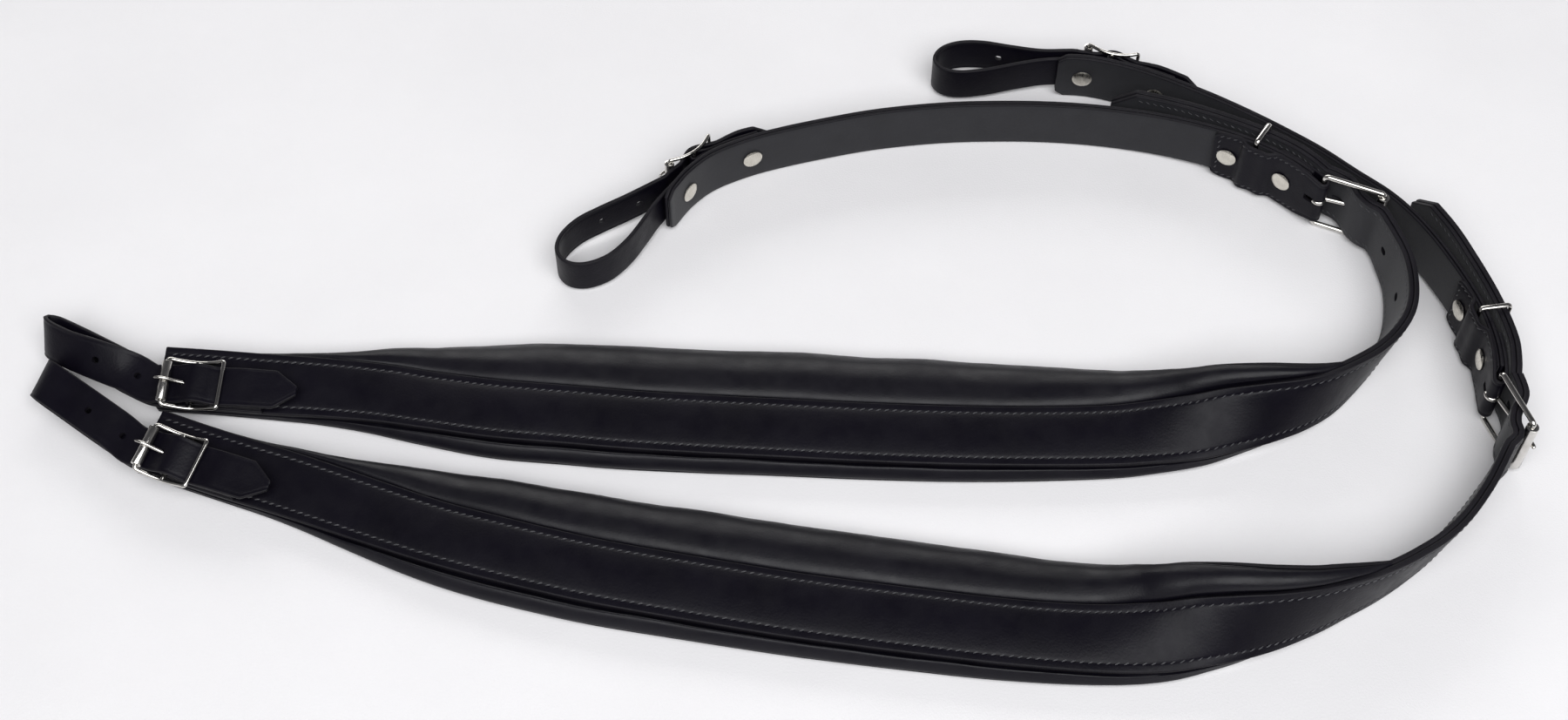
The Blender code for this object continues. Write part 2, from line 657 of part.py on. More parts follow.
def build_chape(prefix, route, frame):
    """Scalloped leather folded round the heel bar: long inner leg, short outer leg."""
    bend = L_WIRE + 0.25 + CHAPE_T / 2.0
    direction = route.at(6.0)[1]
    lean = math.degrees(math.atan2(direction.dot(frame.n), direction.dot(frame.u)))
    points, halves = [], []
    for s in (69.0, 65.0, 60.0, 53.5, 49.0, 42.0, 35.5, 30.5, 24.0, 17.0, 10.0):
        away = table(CHAPE_STANDOFF, s)
        points.append(route.point(s, 0.0, -away))
        halves.append(table(CHAPE_HALF, s))
    for u, n in arc(0.0, 0.0, bend, 270.0 + lean, 90.0 + lean, 9):
        points.append(frame.at(u, 0.0, n))
        halves.append(15.6)
    for s in (6.0, 12.0, 18.0, 24.0, 32.0):
        points.append(route.point(s, 0.0, 3.5))
        halves.append(15.6)
    line = Route(points, widths=[UP] * len(points), per_segment=1)
    rows = list(zip(line.marks, halves))
    obj = strap(prefix + "_chape", "black_leather", line, line.marks, lambda s: table(rows, s),
                lambda s: -CHAPE_T / 2.0, lambda s: CHAPE_T / 2.0)
    verts = []
    for u in (-8.0, 8.5):
        for w in (-2.0, 2.0):
            for n in (-8.0, 8.0):
                verts.append(frame.at(u, w, n))
    faces = [[0, 1, 3, 2], [4, 5, 7, 6], [0, 1, 5, 4], [2, 3, 7, 6], [0, 2, 6, 4], [1, 3, 7, 5]]
    return boolean(obj, make_object("cutter", "plated_wire", verts, faces), "DIFFERENCE")


def build_keeper(prefix, route):
    """Flat oval wire round the upper strap and the tail of the main strap."""
    centre, tangent, width, normal = route.at(KEEPER_AT)
    frame = Frame(centre, tangent, width, normal)
    low, high = -3.95, 13.4
    half = KEEPER_INNER_H / 2.0 + KEEPER_T / 2.0
    lift = 0.7
    corner = 2.6
    path = []
    for cw, cn, start in ((half - corner, high - corner, 0.0), (-half + corner, high - corner, 90.0),
                          (-half + corner, low + corner, 180.0), (half - corner, low + corner, 270.0)):
        for w, n in arc(cw, cn, corner, start, start + 90.0, 4):
            path.append(frame.at(0.0, w + lift, n))
    obj = tube(prefix + "_keeper", "plated_wire", path, tangent, KEEPER_W / 2.0, 8, True,
               KEEPER_T / KEEPER_W)
    set_origin(obj, centre)
    return obj


def end_frame(route, s, w_offset, base, flip):
    """Frame of a small buckle standing on a strap face at height base."""
    point, tangent, width, normal = route.at(s)
    sign = -1.0 if flip else 1.0
    origin = point + width * w_offset + normal * (base + S_BASE)
    return Frame(origin, tangent * sign, width, normal, route, s, sign, w_offset, base)


def lower_loop(frame, lean, far_end):
    """Hairpin loop beyond the pad end, leaning over by the given angle at its fold."""
    start = frame.at(-21.0, 0.0, -2.4)
    legs = ((0.2, 2.3, 0.08), (0.34, 3.9, 0.45), (0.55, 5.2, 0.75), (0.76, 5.8, 1.0), (0.9, 5.4, 1.0))

    def place(share, gap, amount):
        turn = math.radians(lean) * amount
        width = frame.w * math.cos(turn) + frame.n * math.sin(turn)
        across = frame.n * math.cos(turn) - frame.w * math.sin(turn)
        return start.lerp(far_end, share) + across * gap, width

    rows = [place(share, -gap, amount) for share, gap, amount in legs]
    rows += [place(0.975, -3.0, 1.0), place(1.0, 0.0, 1.0), place(0.975, 3.0, 1.0)]
    rows += [place(share, gap, amount) for share, gap, amount in reversed(legs)]
    return [row[0] for row in rows], [row[1] for row in rows]


UPPER_LOOP_A = [(-72.5, 93, 15), (-79, 81, 14.5), (-87.5, 66.5, 14), (-98, 55, 13.5), (-110.5, 49.5, 13),
                (-121, 51, 12.8), (-127, 59, 12.8), (-125.5, 70, 13), (-117, 81, 13.5), (-104, 89.5, 14.2),
                (-89, 98, 15)]
UPPER_LOOP_B = [(158, 205, 15.2), (142, 202.6, 14.6), (121, 197.8, 14), (104, 196.6, 13.4), (94, 200.5, 13),
                (90.6, 208.5, 12.8), (95.5, 216.8, 13), (106, 221.2, 13.2), (120, 221, 13.6),
                (137, 216.5, 14.4), (155, 212.5, 15.2)]


def build_upper_end(prefix, route, layers, loop, tip, foot):
    spot = route.nearest((foot[0], foot[1], 16.4))
    frame = end_frame(route, spot, 0.0, 0.1 + UPPER_T, True)
    small_buckle(prefix + "_top", frame)
    piece = tab(prefix + "_top_tab", frame, 38.0)
    points = [Vector(p) for p in loop]
    fixed = (38.0, 30.0, 20.0, 10.0, 0.0, -9.0, -17.0)
    billet = loop_billet(prefix + "_top_loop", frame, fixed, points, [UP] * len(points), tip,
                         lambda r: (r.length - tip - 72.0, r.length - tip - 48.0))
    for number, u in ((1, -15.0), (2, 31.0)):
        centre, _, _, normal = route.at(spot - u)
        cut = [billet] + list(layers)
        high = 0.1 + UPPER_T + 0.35 + SMALL_T
        if number == 2:
            cut.append(piece)
            high = 0.1 + UPPER_T + S_BASE + 0.1
        name = "%s_top_rivet_%d" % (prefix, number)
        rivet_through(name, centre, normal, -0.6 - UPPER_LINING_T, high, cut)
    return frame


def rivet_through(name, centre, axis, low, high, layers):
    for layer in layers:
        punch(layer, centre + axis * ((low + high) / 2.0), axis, SHANK_HOLE_R,
              (high - low) / 2.0 + 1.0)
    profile = [(0.0, low - RIVET_HEAD - 0.3), (RIVET_R * 0.75, low - RIVET_HEAD), (RIVET_R, low - 0.7),
               (RIVET_R, low - 0.1), (SHANK_R, low - 0.1), (SHANK_R, high + 0.1),
               (RIVET_BACK_R, high + 0.1), (RIVET_BACK_R, high + 0.9), (0.0, high + 0.9)]
    obj = turned(name, "rivet_metal", centre, axis, profile, 10)
    set_origin(obj, centre)
    return obj


def build_lower_end(prefix, route, shape, layers, lean, far_end):
    base = table(BAND_BASE, 0.0) + MAIN_T
    frame = end_frame(route, 21.0, -7.0, base, False)
    small_buckle(prefix + "_low", frame)
    piece = tab(prefix + "_low_tab", frame, 38.0)
    points, widths = lower_loop(frame, lean, Vector(far_end))
    fixed = (38.0, 30.0, 20.0, 10.0, 0.0, -8.0, -15.0, -22.0)
    billet = loop_billet(prefix + "_low_loop", frame, fixed, points, widths, 56.0,
                         lambda r: (r.length - 56.0 - 60.0, r.length - 56.0 - 34.0))
    for number, u in ((1, -13.0), (2, 31.0)):
        cut = [billet] + list(layers)
        high = -S_BASE + 0.35 + SMALL_T + 0.1
        if number == 2:
            cut.append(piece)
            high = 0.1
        name = "%s_low_rivet_%d" % (prefix, number)
        normal = route.at(21.0 + u)[3]
        rivet_through(name, frame.follow(u, 0.0), normal, -S_BASE - base + PAD_LINING_LOW, high, cut)
    return frame


def build_strap(prefix, lower, upper, pad_length, fullness, heel, roller_at, loop, foot,
                top_tip, low_lean, low_end):
    upper_route = Route([p[:3] for p in upper], banks=[90.0] * len(upper))
    heel_point = Vector(heel)
    towards = (Vector(roller_at) - heel_point).normalized()
    outwards = UP.cross(towards)
    outwards = outwards if outwards.dot(upper_route.at(5.0)[3]) > 0 else outwards * -1.0
    frame = Frame(heel_point, towards * -1.0, UP, outwards)
    rows = list(lower)
    for u, n in CROSSING:
        spot = frame.at(u, 0.0, n)
        rows.append((spot.x, spot.y, spot.z - 0.3, 90.0))
    for s in TAIL_STARTS:
        spot = upper_route.point(s, 0.0, table(TAIL_OFFSETS, s))
        rows.append((spot.x, spot.y, max(spot.z + 0.7, 18.0), 90.0))
    lower_route = Route([r[:3] for r in rows], banks=[r[3] for r in rows])
    shape = PadShape(pad_length, fullness)
    cover, pad_lining = build_pad(prefix, lower_route, shape)
    main, main_lining = build_main(prefix, lower_route, shape)
    upper_layers = build_upper(prefix, upper_route)

    large_buckle(prefix, frame)
    chape = build_chape(prefix, upper_route, frame)
    build_keeper(prefix, upper_route)
    for number, s in ((1, RIVET_AT[1]), (2, RIVET_AT[0])):
        centre, _, _, normal = upper_route.at(s)
        high = 4.5 if number == 2 else 0.1 + UPPER_T
        name = "%s_chape_rivet_%d" % (prefix, number)
        rivet_through(name, centre, normal, -4.55, high, [chape] + list(upper_layers))
    holes = [lower_route.nearest(rows[len(lower) - back][:3]) for back in (4, 2)]
    for layer in (main, main_lining):
        punch(layer, frame.at(-17.5, 0.0, 3.7), frame.u, 1.8, 11.0, frame.n, 0.9)
        for s in holes:
            centre, tangent, _, normal = lower_route.at(s)
            punch(layer, centre, normal, 1.9, 5.0, tangent, 0.8)
    build_upper_end(prefix, upper_route, upper_layers, loop, top_tip, foot)
    build_lower_end(prefix, lower_route, shape, (main, cover, pad_lining), low_lean, low_end)


def recentre():
    """Put the middle of the footprint over the origin and the lowest point on z = 0."""
    low, high = Vector((1e9,) * 3), Vector((-1e9,) * 3)
    for obj in bpy.data.objects:
        for vert in obj.data.vertices:
            for axis in range(3):
                value = vert.co[axis] + obj.location[axis]
                low[axis] = min(low[axis], value)
                high[axis] = max(high[axis], value)
    shift = Vector(((low.x + high.x) / 2.0, (low.y + high.y) / 2.0, low.z))
    for obj in bpy.data.objects:
        obj.location = obj.location - shift


def main():
    clear_scene()
    build_strap("a", LOWER_A, UPPER_A, 642.0, 1.0, (305, 98, 21.6), (336.1, 84.4, 21.6),
                UPPER_LOOP_A, (-46, 120.5), 48.0, 40.0, (-403, 5, 16.5))
    build_strap("b", LOWER_B, UPPER_B, 660.0, 0.88, (377, -39, 21.6), (386.7, -71.6, 21.6),
                UPPER_LOOP_B, (194, 197), 56.0, 3.0, (-401, -22, 12.5))
    recentre()


main()
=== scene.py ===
import json
import math
from bisect import bisect_right

import bmesh
import bpy
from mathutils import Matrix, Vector, noise

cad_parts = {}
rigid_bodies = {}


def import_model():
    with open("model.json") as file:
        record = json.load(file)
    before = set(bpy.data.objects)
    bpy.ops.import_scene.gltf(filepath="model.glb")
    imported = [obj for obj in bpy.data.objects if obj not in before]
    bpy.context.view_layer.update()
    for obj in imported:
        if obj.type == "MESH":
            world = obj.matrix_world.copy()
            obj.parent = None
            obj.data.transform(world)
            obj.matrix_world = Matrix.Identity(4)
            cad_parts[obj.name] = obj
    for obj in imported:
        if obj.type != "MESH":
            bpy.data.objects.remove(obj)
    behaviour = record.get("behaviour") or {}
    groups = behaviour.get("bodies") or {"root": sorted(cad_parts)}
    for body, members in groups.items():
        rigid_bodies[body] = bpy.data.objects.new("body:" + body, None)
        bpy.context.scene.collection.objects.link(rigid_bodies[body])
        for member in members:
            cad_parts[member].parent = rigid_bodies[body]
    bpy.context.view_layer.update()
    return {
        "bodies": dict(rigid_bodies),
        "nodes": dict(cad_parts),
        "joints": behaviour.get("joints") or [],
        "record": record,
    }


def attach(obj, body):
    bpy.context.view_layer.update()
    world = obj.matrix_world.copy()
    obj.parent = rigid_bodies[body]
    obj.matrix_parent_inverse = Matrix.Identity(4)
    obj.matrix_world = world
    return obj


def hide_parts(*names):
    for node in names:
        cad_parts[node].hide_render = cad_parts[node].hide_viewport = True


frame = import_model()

# Lengths are in millimetres in the drawing frame of the part; OFFSET takes it to the row frame.
MM = 0.001
OFFSET = Vector((-6.5208, 10.4941, -0.0259))
UP = Vector((0.0, 0.0, 1.0))

MAIN_W, MAIN_T, MAIN_LINING_T = 35.0, 3.0, 2.7
UPPER_W, UPPER_T, UPPER_LINING_T = 32.0, 2.2, 1.8
SMALL_W, SMALL_T, TAB_T, CHAPE_T = 22.0, 2.3, 1.4, 2.0
COVER_LOW = 2.25
# the pad thins from below over its last END_TAPER, to merge with the strap
END_TAPER, COVER_LIFT, LINING_LIFT = 34.0, 2.1, 3.0
S_INNER, S_WIRE, S_REACH, S_RISE, S_ROLLER_R, S_PRONG_R, S_BASE = 23.6, 1.4, 15.0, 4.4, 2.8, 0.95, 6.5
L_INNER, L_WIRE, L_REACH, L_ROLLER_R, L_PRONG_R = 36.4, 1.6, 34.0, 3.3, 1.35
KEEPER_T, KEEPER_INNER_H, KEEPER_AT = 2.2, 36.4, 44.0
RIVET_R, RIVET_BACK_R = 5.8, 5.0
STITCH_IN = 4.4
# the lower small buckle sits this far along the strap and this far to the near side
LOW_BUCKLE_AT, LOW_BUCKLE_SIDE = 21.0, -7.0

# middle lines of the straps: x, y, z, then the bank in degrees (90 stands upright; past 90 leans outwards)
LOWER_A = [
    (-337, -19.0, 5.6, 13), (-310, -20.5, 4.7, 13), (-286, -22.5, 4.3, 13),
    (-268, -24, 3.9, 12), (-246, -26, 2.9, 8.5),
    (-217, -30, 1.5, 4), (-190, -35.5, 0.2, 0), (-153, -42, 0, 0), (-116, -46, 0, 0),
    (-83, -49.5, 0, 0), (-42, -52.5, 0, 0), (0, -55, 0, 0), (40, -57.5, 0, 0),
    (88, -59.5, 0, 0), (130, -60, 0, 0), (172, -59, 0.6, 2), (196, -56.5, 2.6, 7),
    (217, -53, 7.0, 20), (236, -48, 12.4, 37), (254, -43.5, 16.8, 54), (271, -38.5, 18.9, 68),
    (287, -31.5, 19.6, 80), (302, -22, 19.4, 90), (316, -12, 18.9, 98), (327.5, -1, 18.7, 102),
    (336, 12, 18.7, 103), (340.5, 28.5, 18.9, 101), (341.5, 46, 19.4, 97), (338.8, 61.6, 20, 93),
    (336.4, 71, 20.6, 90),
]
UPPER_A = [
    (305, 98, 21.6), (297, 107, 21.4), (288.6, 115.5, 21), (275, 126.5, 20.4), (259, 136, 19.6),
    (243, 143.5, 18.8), (222, 151, 17.8), (200, 156.5, 17), (175, 160.5, 16.6), (150, 162.5, 16.4),
    (125, 162.8, 16.4), (100, 162, 16.4), (75, 159.5, 16.4), (50, 155.5, 16.4), (25, 149.5, 16.4),
    (0, 142.5, 16.4), (-21, 135, 16.4), (-41, 124.5, 16.4), (-54, 112, 16.4), (-62.5, 99, 16.4),
    (-66, 92, 16.4),
]
LOWER_B = [
    (-336, -60.0, 5.6, 12), (-310, -69.5, 4.7, 12), (-285, -78.3, 4.3, 12), (-262, -86, 3.5, 11),
    (-240, -94.5, 2.6, 8), (-213, -105.5, 1.3, 4), (-180, -118.5, 0.1, 0), (-150, -128, 0, 0),
    (-120, -136.5, 0, 0), (-90, -144, 0, 0), (-45, -153, 0, 0), (0, -161.5, 0, 0),
    (35, -167, 0, 0), (70, -172, 0, 0), (104, -176.5, 0, 0), (137, -179.5, 0.2, 1),
    (163, -180.5, 1.6, 5), (186, -179, 5.2, 15), (207, -175, 11.0, 32), (227, -171, 16.0, 50),
    (246, -166.5, 18.9, 66), (264, -161, 19.7, 78), (281, -154, 19.4, 87), (298, -146.5, 18.9, 93),
    (314, -138.5, 18.5, 97), (329, -130, 18.5, 100), (343, -118.5, 18.6, 101), (356.5, -103.5, 18.9, 98),
    (366.8, -89.8, 19.3, 94), (374.2, -80, 20.2, 90),
]
# the main strap enters inside the roller bar and leaves outside the heel bar
CROSSING = [(-34.5, -8.0), (-28.0, -6.3), (-22.0, -2.6), (-17.5, 2.4), (-12.5, 6.6), (-6.0, 8.5), (1.0, 9.7)]
UPPER_B = [
    (377, -39, 21.6), (379.4, -24, 21.4), (379.6, -8, 21), (377.4, 10, 20.4), (373.2, 27, 19.8),
    (367.4, 45, 19), (360.6, 62.5, 18.2), (352.4, 78.8, 17.4), (341.8, 94, 16.8), (326, 109.5, 16.6),
    (309.5, 126, 16.5), (292, 140.5, 16.4), (274, 154, 16.4), (255, 166.8, 16.4), (241, 175.2, 16.4),
    (225, 184, 16.4), (207, 192.4, 16.4), (188, 198.6, 16.4), (176, 200.6, 16.4), (164, 201, 16.4),
]

TAIL_OFFSETS = [(10.0, 8.1), (24.0, 8.9), (45.0, 8.5), (60.0, 8.8), (80.0, 9.8), (104.0, 11.6), (132.0, 13.8)]
TAIL_STARTS = [10.0, 17.0, 24.0, 34.0, 45.0, 60.0, 80.0, 104.0, 132.0]

# the pad along its length, 0 to 1: far and near edge, height and tilt of the band, rise of the far roll
PAD_FAR = [(0.0, 19.0), (0.08, 19.0), (0.145, 24.0), (0.215, 37.0), (0.29, 47.0), (0.385, 51.0),
           (0.52, 53.0), (0.67, 52.0), (0.77, 47.5), (0.83, 40.5), (0.88, 33.0), (0.925, 27.0), (0.96, 22.5),
           (1.0, 20.0)]
PAD_NEAR = [(0.0, 17.4), (0.08, 17.4), (0.145, 18.6), (0.215, 21.5), (0.29, 24.0), (0.385, 23.5),
            (0.52, 22.0), (0.67, 21.0), (0.8, 19.4), (0.88, 18.4), (1.0, 17.8)]
BAND_BASE = [(0.0, 5.6), (0.1, 5.6), (0.145, 6.8), (0.215, 9.2), (0.29, 11.0), (0.385, 11.6),
             (0.52, 11.6), (0.67, 11.6), (0.82, 10.6), (0.88, 9.2), (0.925, 7.8), (0.96, 6.6),
             (1.0, 5.8), (1.07, 0.4), (1.1, 0.1)]
BAND_SLOPE = [(0.0, 0.0), (0.1, 0.0), (0.215, 1.2), (0.29, 2.0), (0.82, 2.0), (0.925, 1.0), (1.0, 0.0)]
ROLL_RISE = [(0.0, 0.0), (0.1, 0.0), (0.2, 2.4), (0.29, 4.6), (0.52, 5.4), (0.82, 4.6), (0.9, 3.0),
             (0.97, 0.8), (1.0, 0.0)]

UPPER_LOOP_A = [(-72.5, 93, 15), (-79, 81, 14.5), (-87.5, 66.5, 14), (-98, 55, 13.5), (-110.5, 49.5, 13),
                (-121, 51, 12.8), (-127, 59, 12.8), (-125.5, 70, 13), (-117, 81, 13.5), (-104, 89.5, 14.2),
                (-89, 98, 15)]
UPPER_LOOP_B = [(158, 205, 15.2), (142, 202.6, 14.6), (121, 197.8, 14), (104, 196.6, 13.4), (94, 200.5, 13),
                (90.6, 208.5, 12.8), (95.5, 216.8, 13), (106, 221.2, 13.2), (120, 221, 13.6),
                (137, 216.5, 14.4), (155, 212.5, 15.2)]

CHAPE_STANDOFF = [(12.0, 3.25), (30.5, 3.25), (35.5, 6.5), (49.0, 6.5), (53.5, 3.25), (74.0, 3.25)]
CHAPE_HALF = [(-6.0, 15.0), (4.0, 16.0), (12.0, 18.4), (30.0, 18.2), (41.0, 16.9), (52.0, 18.2),
              (64.0, 18.0), (69.0, 16.0)]
CHAPE_RIVETS = (60.0, 24.0)


# --- numbers and lines -------------------------------------------------------
def table(rows, x):
    """Piecewise-linear value of x in rows of (x, value)."""
    if x <= rows[0][0]:
        return rows[0][1]
    for (x0, y0), (x1, y1) in zip(rows, rows[1:]):
        if x <= x1:
            return y0 + (y1 - y0) * (x - x0) / (x1 - x0)
    return rows[-1][1]


def soft_table(rows, x, reach):
    """The same, with its corners rounded over a distance."""
    steps = (-1.0, -0.5, 0.0, 0.5, 1.0)
    return sum(table(rows, x + reach * k) for k in steps) / len(steps)


def blend(p0, p1, p2, p3, t):
    """Catmull-Rom point between p1 and p2."""
    a = p1 * 2.0
    b = (p2 - p0) * t
    c = (p0 * 2.0 - p1 * 5.0 + p2 * 4.0 - p3) * (t * t)
    d = (p1 * 3.0 - p0 - p2 * 3.0 + p3) * (t * t * t)
    return (a + b + c + d) * 0.5


def smooth_line(points, per_segment):
    ends = [points[0] * 2.0 - points[1]] + list(points)
    ends.append(points[-1] * 2.0 - points[-2])
    line = []
    for i in range(len(points) - 1):
        for k in range(per_segment):
            line.append(blend(ends[i], ends[i + 1], ends[i + 2], ends[i + 3], k / per_segment))
    line.append(points[-1].copy())
    return line


class Route:
    """A line with arc length, tangent T, width direction W and normal N = T x W."""

    def __init__(self, points, banks=None, widths=None, per_segment=12):
        self.line = smooth_line([Vector(p) for p in points], per_segment)
        self.banks, self.widths = None, None
        if banks is not None:
            rows = smooth_line([Vector((b, 0.0, 0.0)) for b in banks], per_segment)
            self.banks = [row.x for row in rows]
        else:
            self.widths = smooth_line([Vector(w) for w in widths], per_segment)
        self.marks = [0.0]
        for a, b in zip(self.line, self.line[1:]):
            self.marks.append(self.marks[-1] + (b - a).length)
        self.length = self.marks[-1]
        self.frames = [self.frame(i) for i in range(len(self.line))]

    def frame(self, i):
        low, high = max(i - 1, 0), min(i + 1, len(self.line) - 1)
        tangent = (self.line[high] - self.line[low]).normalized()
        if self.widths is None:
            left = UP.cross(tangent).normalized()
            angle = math.radians(self.banks[i])
            width = left * math.cos(angle) + UP * math.sin(angle)
        else:
            width = self.widths[i]
        width = (width - tangent * width.dot(tangent)).normalized()
        return tangent, width

    def at(self, s):
        s = min(max(s, 0.0), self.length)
        i = min(max(bisect_right(self.marks, s) - 1, 0), len(self.marks) - 2)
        t = (s - self.marks[i]) / max(self.marks[i + 1] - self.marks[i], 1e-9)
        point = self.line[i].lerp(self.line[i + 1], t)
        tangent = self.frames[i][0].lerp(self.frames[i + 1][0], t).normalized()
        width = self.frames[i][1].lerp(self.frames[i + 1][1], t)
        width = (width - tangent * width.dot(tangent)).normalized()
        return point, tangent, width, tangent.cross(width)

    def point(self, s, w, n):
        base, _, width, normal = self.at(s)
        return base + width * w + normal * n

    def nearest(self, target):
        flat = Vector(target)
        best = min(range(len(self.line)), key=lambda i: (self.line[i] - flat).length)
        return self.marks[best]


class Frame:
    """Local axes of a buckle: u along the strap, w along the bars, n outwards."""

    def __init__(self, origin, u, w, n, route=None, spot=0.0, sign=1.0, shift=0.0, base=0.0):
        self.origin, self.u, self.w, self.n = origin, u, w, n
        self.route, self.spot, self.sign = route, spot, sign
        self.shift, self.base = shift, base

    def at(self, u, w, n):
        return self.origin + self.u * u + self.w * w + self.n * n

    def follow(self, u, n):
        """The same place measured along the curved strap face under the buckle."""
        return self.route.point(self.spot + self.sign * u, self.shift, self.base + S_BASE + n)

    def follow_width(self, u):
        return self.route.at(self.spot + self.sign * u)[2]


def arc(centre_u, centre_n, radius, start, end, count):
    rows = []
    for k in range(count):
        turn = math.radians(start + (end - start) * k / (count - 1))
        rows.append((centre_u + radius * math.cos(turn), centre_n + radius * math.sin(turn)))
    return rows


def spread(s0, s1, step, extra=()):
    """Even stations from s0 to s1, close together at both ends where the edges are rounded."""
    count = max(2, int(round((s1 - s0) / step)))
    marks = [s0 + (s1 - s0) * k / count for k in range(count + 1)]
    marks += [s0 + d for d in (0.12, 0.35, 0.8)] + [s1 - d for d in (0.12, 0.35, 0.8)]
    marks += [s for s in extra if s0 < s < s1]
    marks = sorted(marks)
    return [s for i, s in enumerate(marks) if i == 0 or s - marks[i - 1] > 0.08]


# --- meshes ------------------------------------------------------------------
def make(name, body, verts, faces, mats, picks=None, sharp=38.0, stands_for=()):
    mesh = bpy.data.meshes.new(name)
    mesh.from_pydata([(v - OFFSET) * MM for v in verts], [], faces)
    for mat in mats:
        mesh.materials.append(mat)
    if picks:
        mesh.polygons.foreach_set("material_index", picks)
    bm = bmesh.new()
    bm.from_mesh(mesh)
    bmesh.ops.recalc_face_normals(bm, faces=bm.faces)
    if bm.calc_volume(signed=True) < 0.0:
        bmesh.ops.reverse_faces(bm, faces=bm.faces)
    bm.to_mesh(mesh)
    bm.free()
    obj = bpy.data.objects.new(name, mesh)
    bpy.context.scene.collection.objects.link(obj)
    finish_mesh(obj, sharp)
    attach(obj, body)
    if stands_for:
        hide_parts(*stands_for)
    return obj


def finish_mesh(obj, sharp=38.0):
    """Smooth shading, kept sharp past an angle."""
    obj.data.shade_smooth()
    obj.data.set_sharp_from_angle(angle=math.radians(sharp))


def loft(rings):
    """Vertices and faces of a closed body through rings of equal count."""
    count = len(rings[0])
    verts = [v for ring in rings for v in ring]
    faces = [list(range(count)), list(range(len(verts) - count, len(verts)))]
    for r in range(len(rings) - 1):
        low = r * count
        for k in range(count):
            nxt = (k + 1) % count
            faces.append([low + k, low + nxt, low + count + nxt, low + count + k])
    return verts, faces


def ease(distance, reach):
    """0 at an end, 1 from reach on, along a quarter circle."""
    t = min(1.0, max(0.0, distance / reach))
    return math.sqrt(1.0 - (1.0 - t) ** 2)


def closing(s, start, end, least=0.35, reach=0.8):
    """Thickness share of a strap, rounded off over its last reach at both ends."""
    return least + (1.0 - least) * ease(min(s - start, end - s), reach)


EDGE_SIDES = 4
FLAT_POINTS = 11


def flat_profile(half, low, high, tilt=0.0, crown=0.0, groove=0.0, shrink=1.0, reach=None):
    """Outline of a strap: flat below, rounded edges, crowned above with a groove for the stitches."""
    middle = (low + high) / 2.0
    low, high = middle + (low - middle) * shrink, middle + (high - middle) * shrink
    radius = min(0.75, (high - low) * 0.45)
    half -= 0.8 * (1.0 - shrink)
    inner = half - radius
    line = max(reach if reach is not None else half - STITCH_IN, 0.5)
    rows = [(-inner + 2.0 * inner * k / (FLAT_POINTS - 1), low) for k in range(FLAT_POINTS)]
    rows += arc(inner, low + radius, radius, -72.0, 0.0, EDGE_SIDES)
    rows += arc(inner, high - radius, radius, 0.0, 72.0, EDGE_SIDES)
    spots = [1.0]
    spots += [(line + d) / inner for d in (1.3, 0.6, 0.0, -0.6, -1.3)]
    spots += [line / inner * k for k in (0.7, 0.45, 0.2, 0.0)]
    spots += [-x for x in reversed(spots[:-1])]
    for x in spots:
        place = x * inner
        swell = crown * max(0.0, 1.0 - (place / line) ** 2)
        trough = groove * 0.28 * math.exp(-((abs(place) - line) / 0.55) ** 2)
        rows.append((place, high + swell - trough))
    rows += arc(-inner, high - radius, radius, 108.0, 180.0, EDGE_SIDES)
    rows += arc(-inner, low + radius, radius, 180.0, 252.0, EDGE_SIDES)
    return [(x, z + tilt * x / max(half, 1.0)) for x, z in rows]


def strip(node, body, leather, route, marks, profile):
    """A strap through its profiles, in place of its CAD node; the second material takes the cut edges."""
    mats, slot = leather
    rings = [[route.point(s, x, z) for x, z in profile(s)] for s in marks]
    verts, faces = loft(rings)
    count = len(rings[0])
    tops = count - FLAT_POINTS - 4 * EDGE_SIDES
    first, last = FLAT_POINTS - 1, FLAT_POINTS + 2 * EDGE_SIDES
    second = FLAT_POINTS + 2 * EDGE_SIDES + tops - 1
    side = [first <= k < last or k >= second for k in range(count)]
    picks = [1, 1] + [int(side[k]) for _ in range(len(rings) - 1) for k in range(count)]
    return make("look_" + node, body, verts, faces, mats, picks, stands_for=(node,))


def sweep_wire(path, reference, across, up_radius, sides, closed, scale=None):
    """Round or oval wire along a path; scale(i) thins it at point i."""
    count = len(path)
    rings = []
    for i, point in enumerate(path):
        before = path[(i - 1) % count] if closed or i else path[0]
        after = path[(i + 1) % count] if closed or i < count - 1 else path[-1]
        along = (after - before).normalized()
        up = (reference - along * reference.dot(along)).normalized()
        side = along.cross(up)
        size = scale(i) if scale else 1.0
        ring = []
        for k in range(sides):
            turn = 2.0 * math.pi * (k + 0.5) / sides
            ring.append(point + side * (across * size * math.cos(turn)) + up * (up_radius * size * math.sin(turn)))
        rings.append(ring)
    verts, faces = loft(rings)
    if closed:
        faces = faces[2:]
        low = (count - 1) * sides
        for k in range(sides):
            nxt = (k + 1) % sides
            faces.append([low + k, low + nxt, nxt, k])
    return verts, faces


def turned(centre, axis, profile, sides):
    """Solid or ring of revolution from a closed list of (radius, height)."""
    side = axis.orthogonal().normalized()
    other = axis.cross(side)
    verts, rows = [], []
    for radius, height in profile:
        base = centre + axis * height
        if radius < 1e-6:
            rows.append([len(verts)] * sides)
            verts.append(base)
            continue
        rows.append(list(range(len(verts), len(verts) + sides)))
        for k in range(sides):
            turn = 2.0 * math.pi * k / sides
            verts.append(base + side * (radius * math.cos(turn)) + other * (radius * math.sin(turn)))
    faces = []
    pairs = list(zip(rows, rows[1:]))
    if profile[0][0] > 1e-6:
        pairs.append((rows[-1], rows[0]))
    for low, high in pairs:
        for k in range(sides):
            nxt = (k + 1) % sides
            face = []
            for v in (low[k], low[nxt], high[nxt], high[k]):
                if v not in face:
                    face.append(v)
            faces.append(face)
    return verts, faces


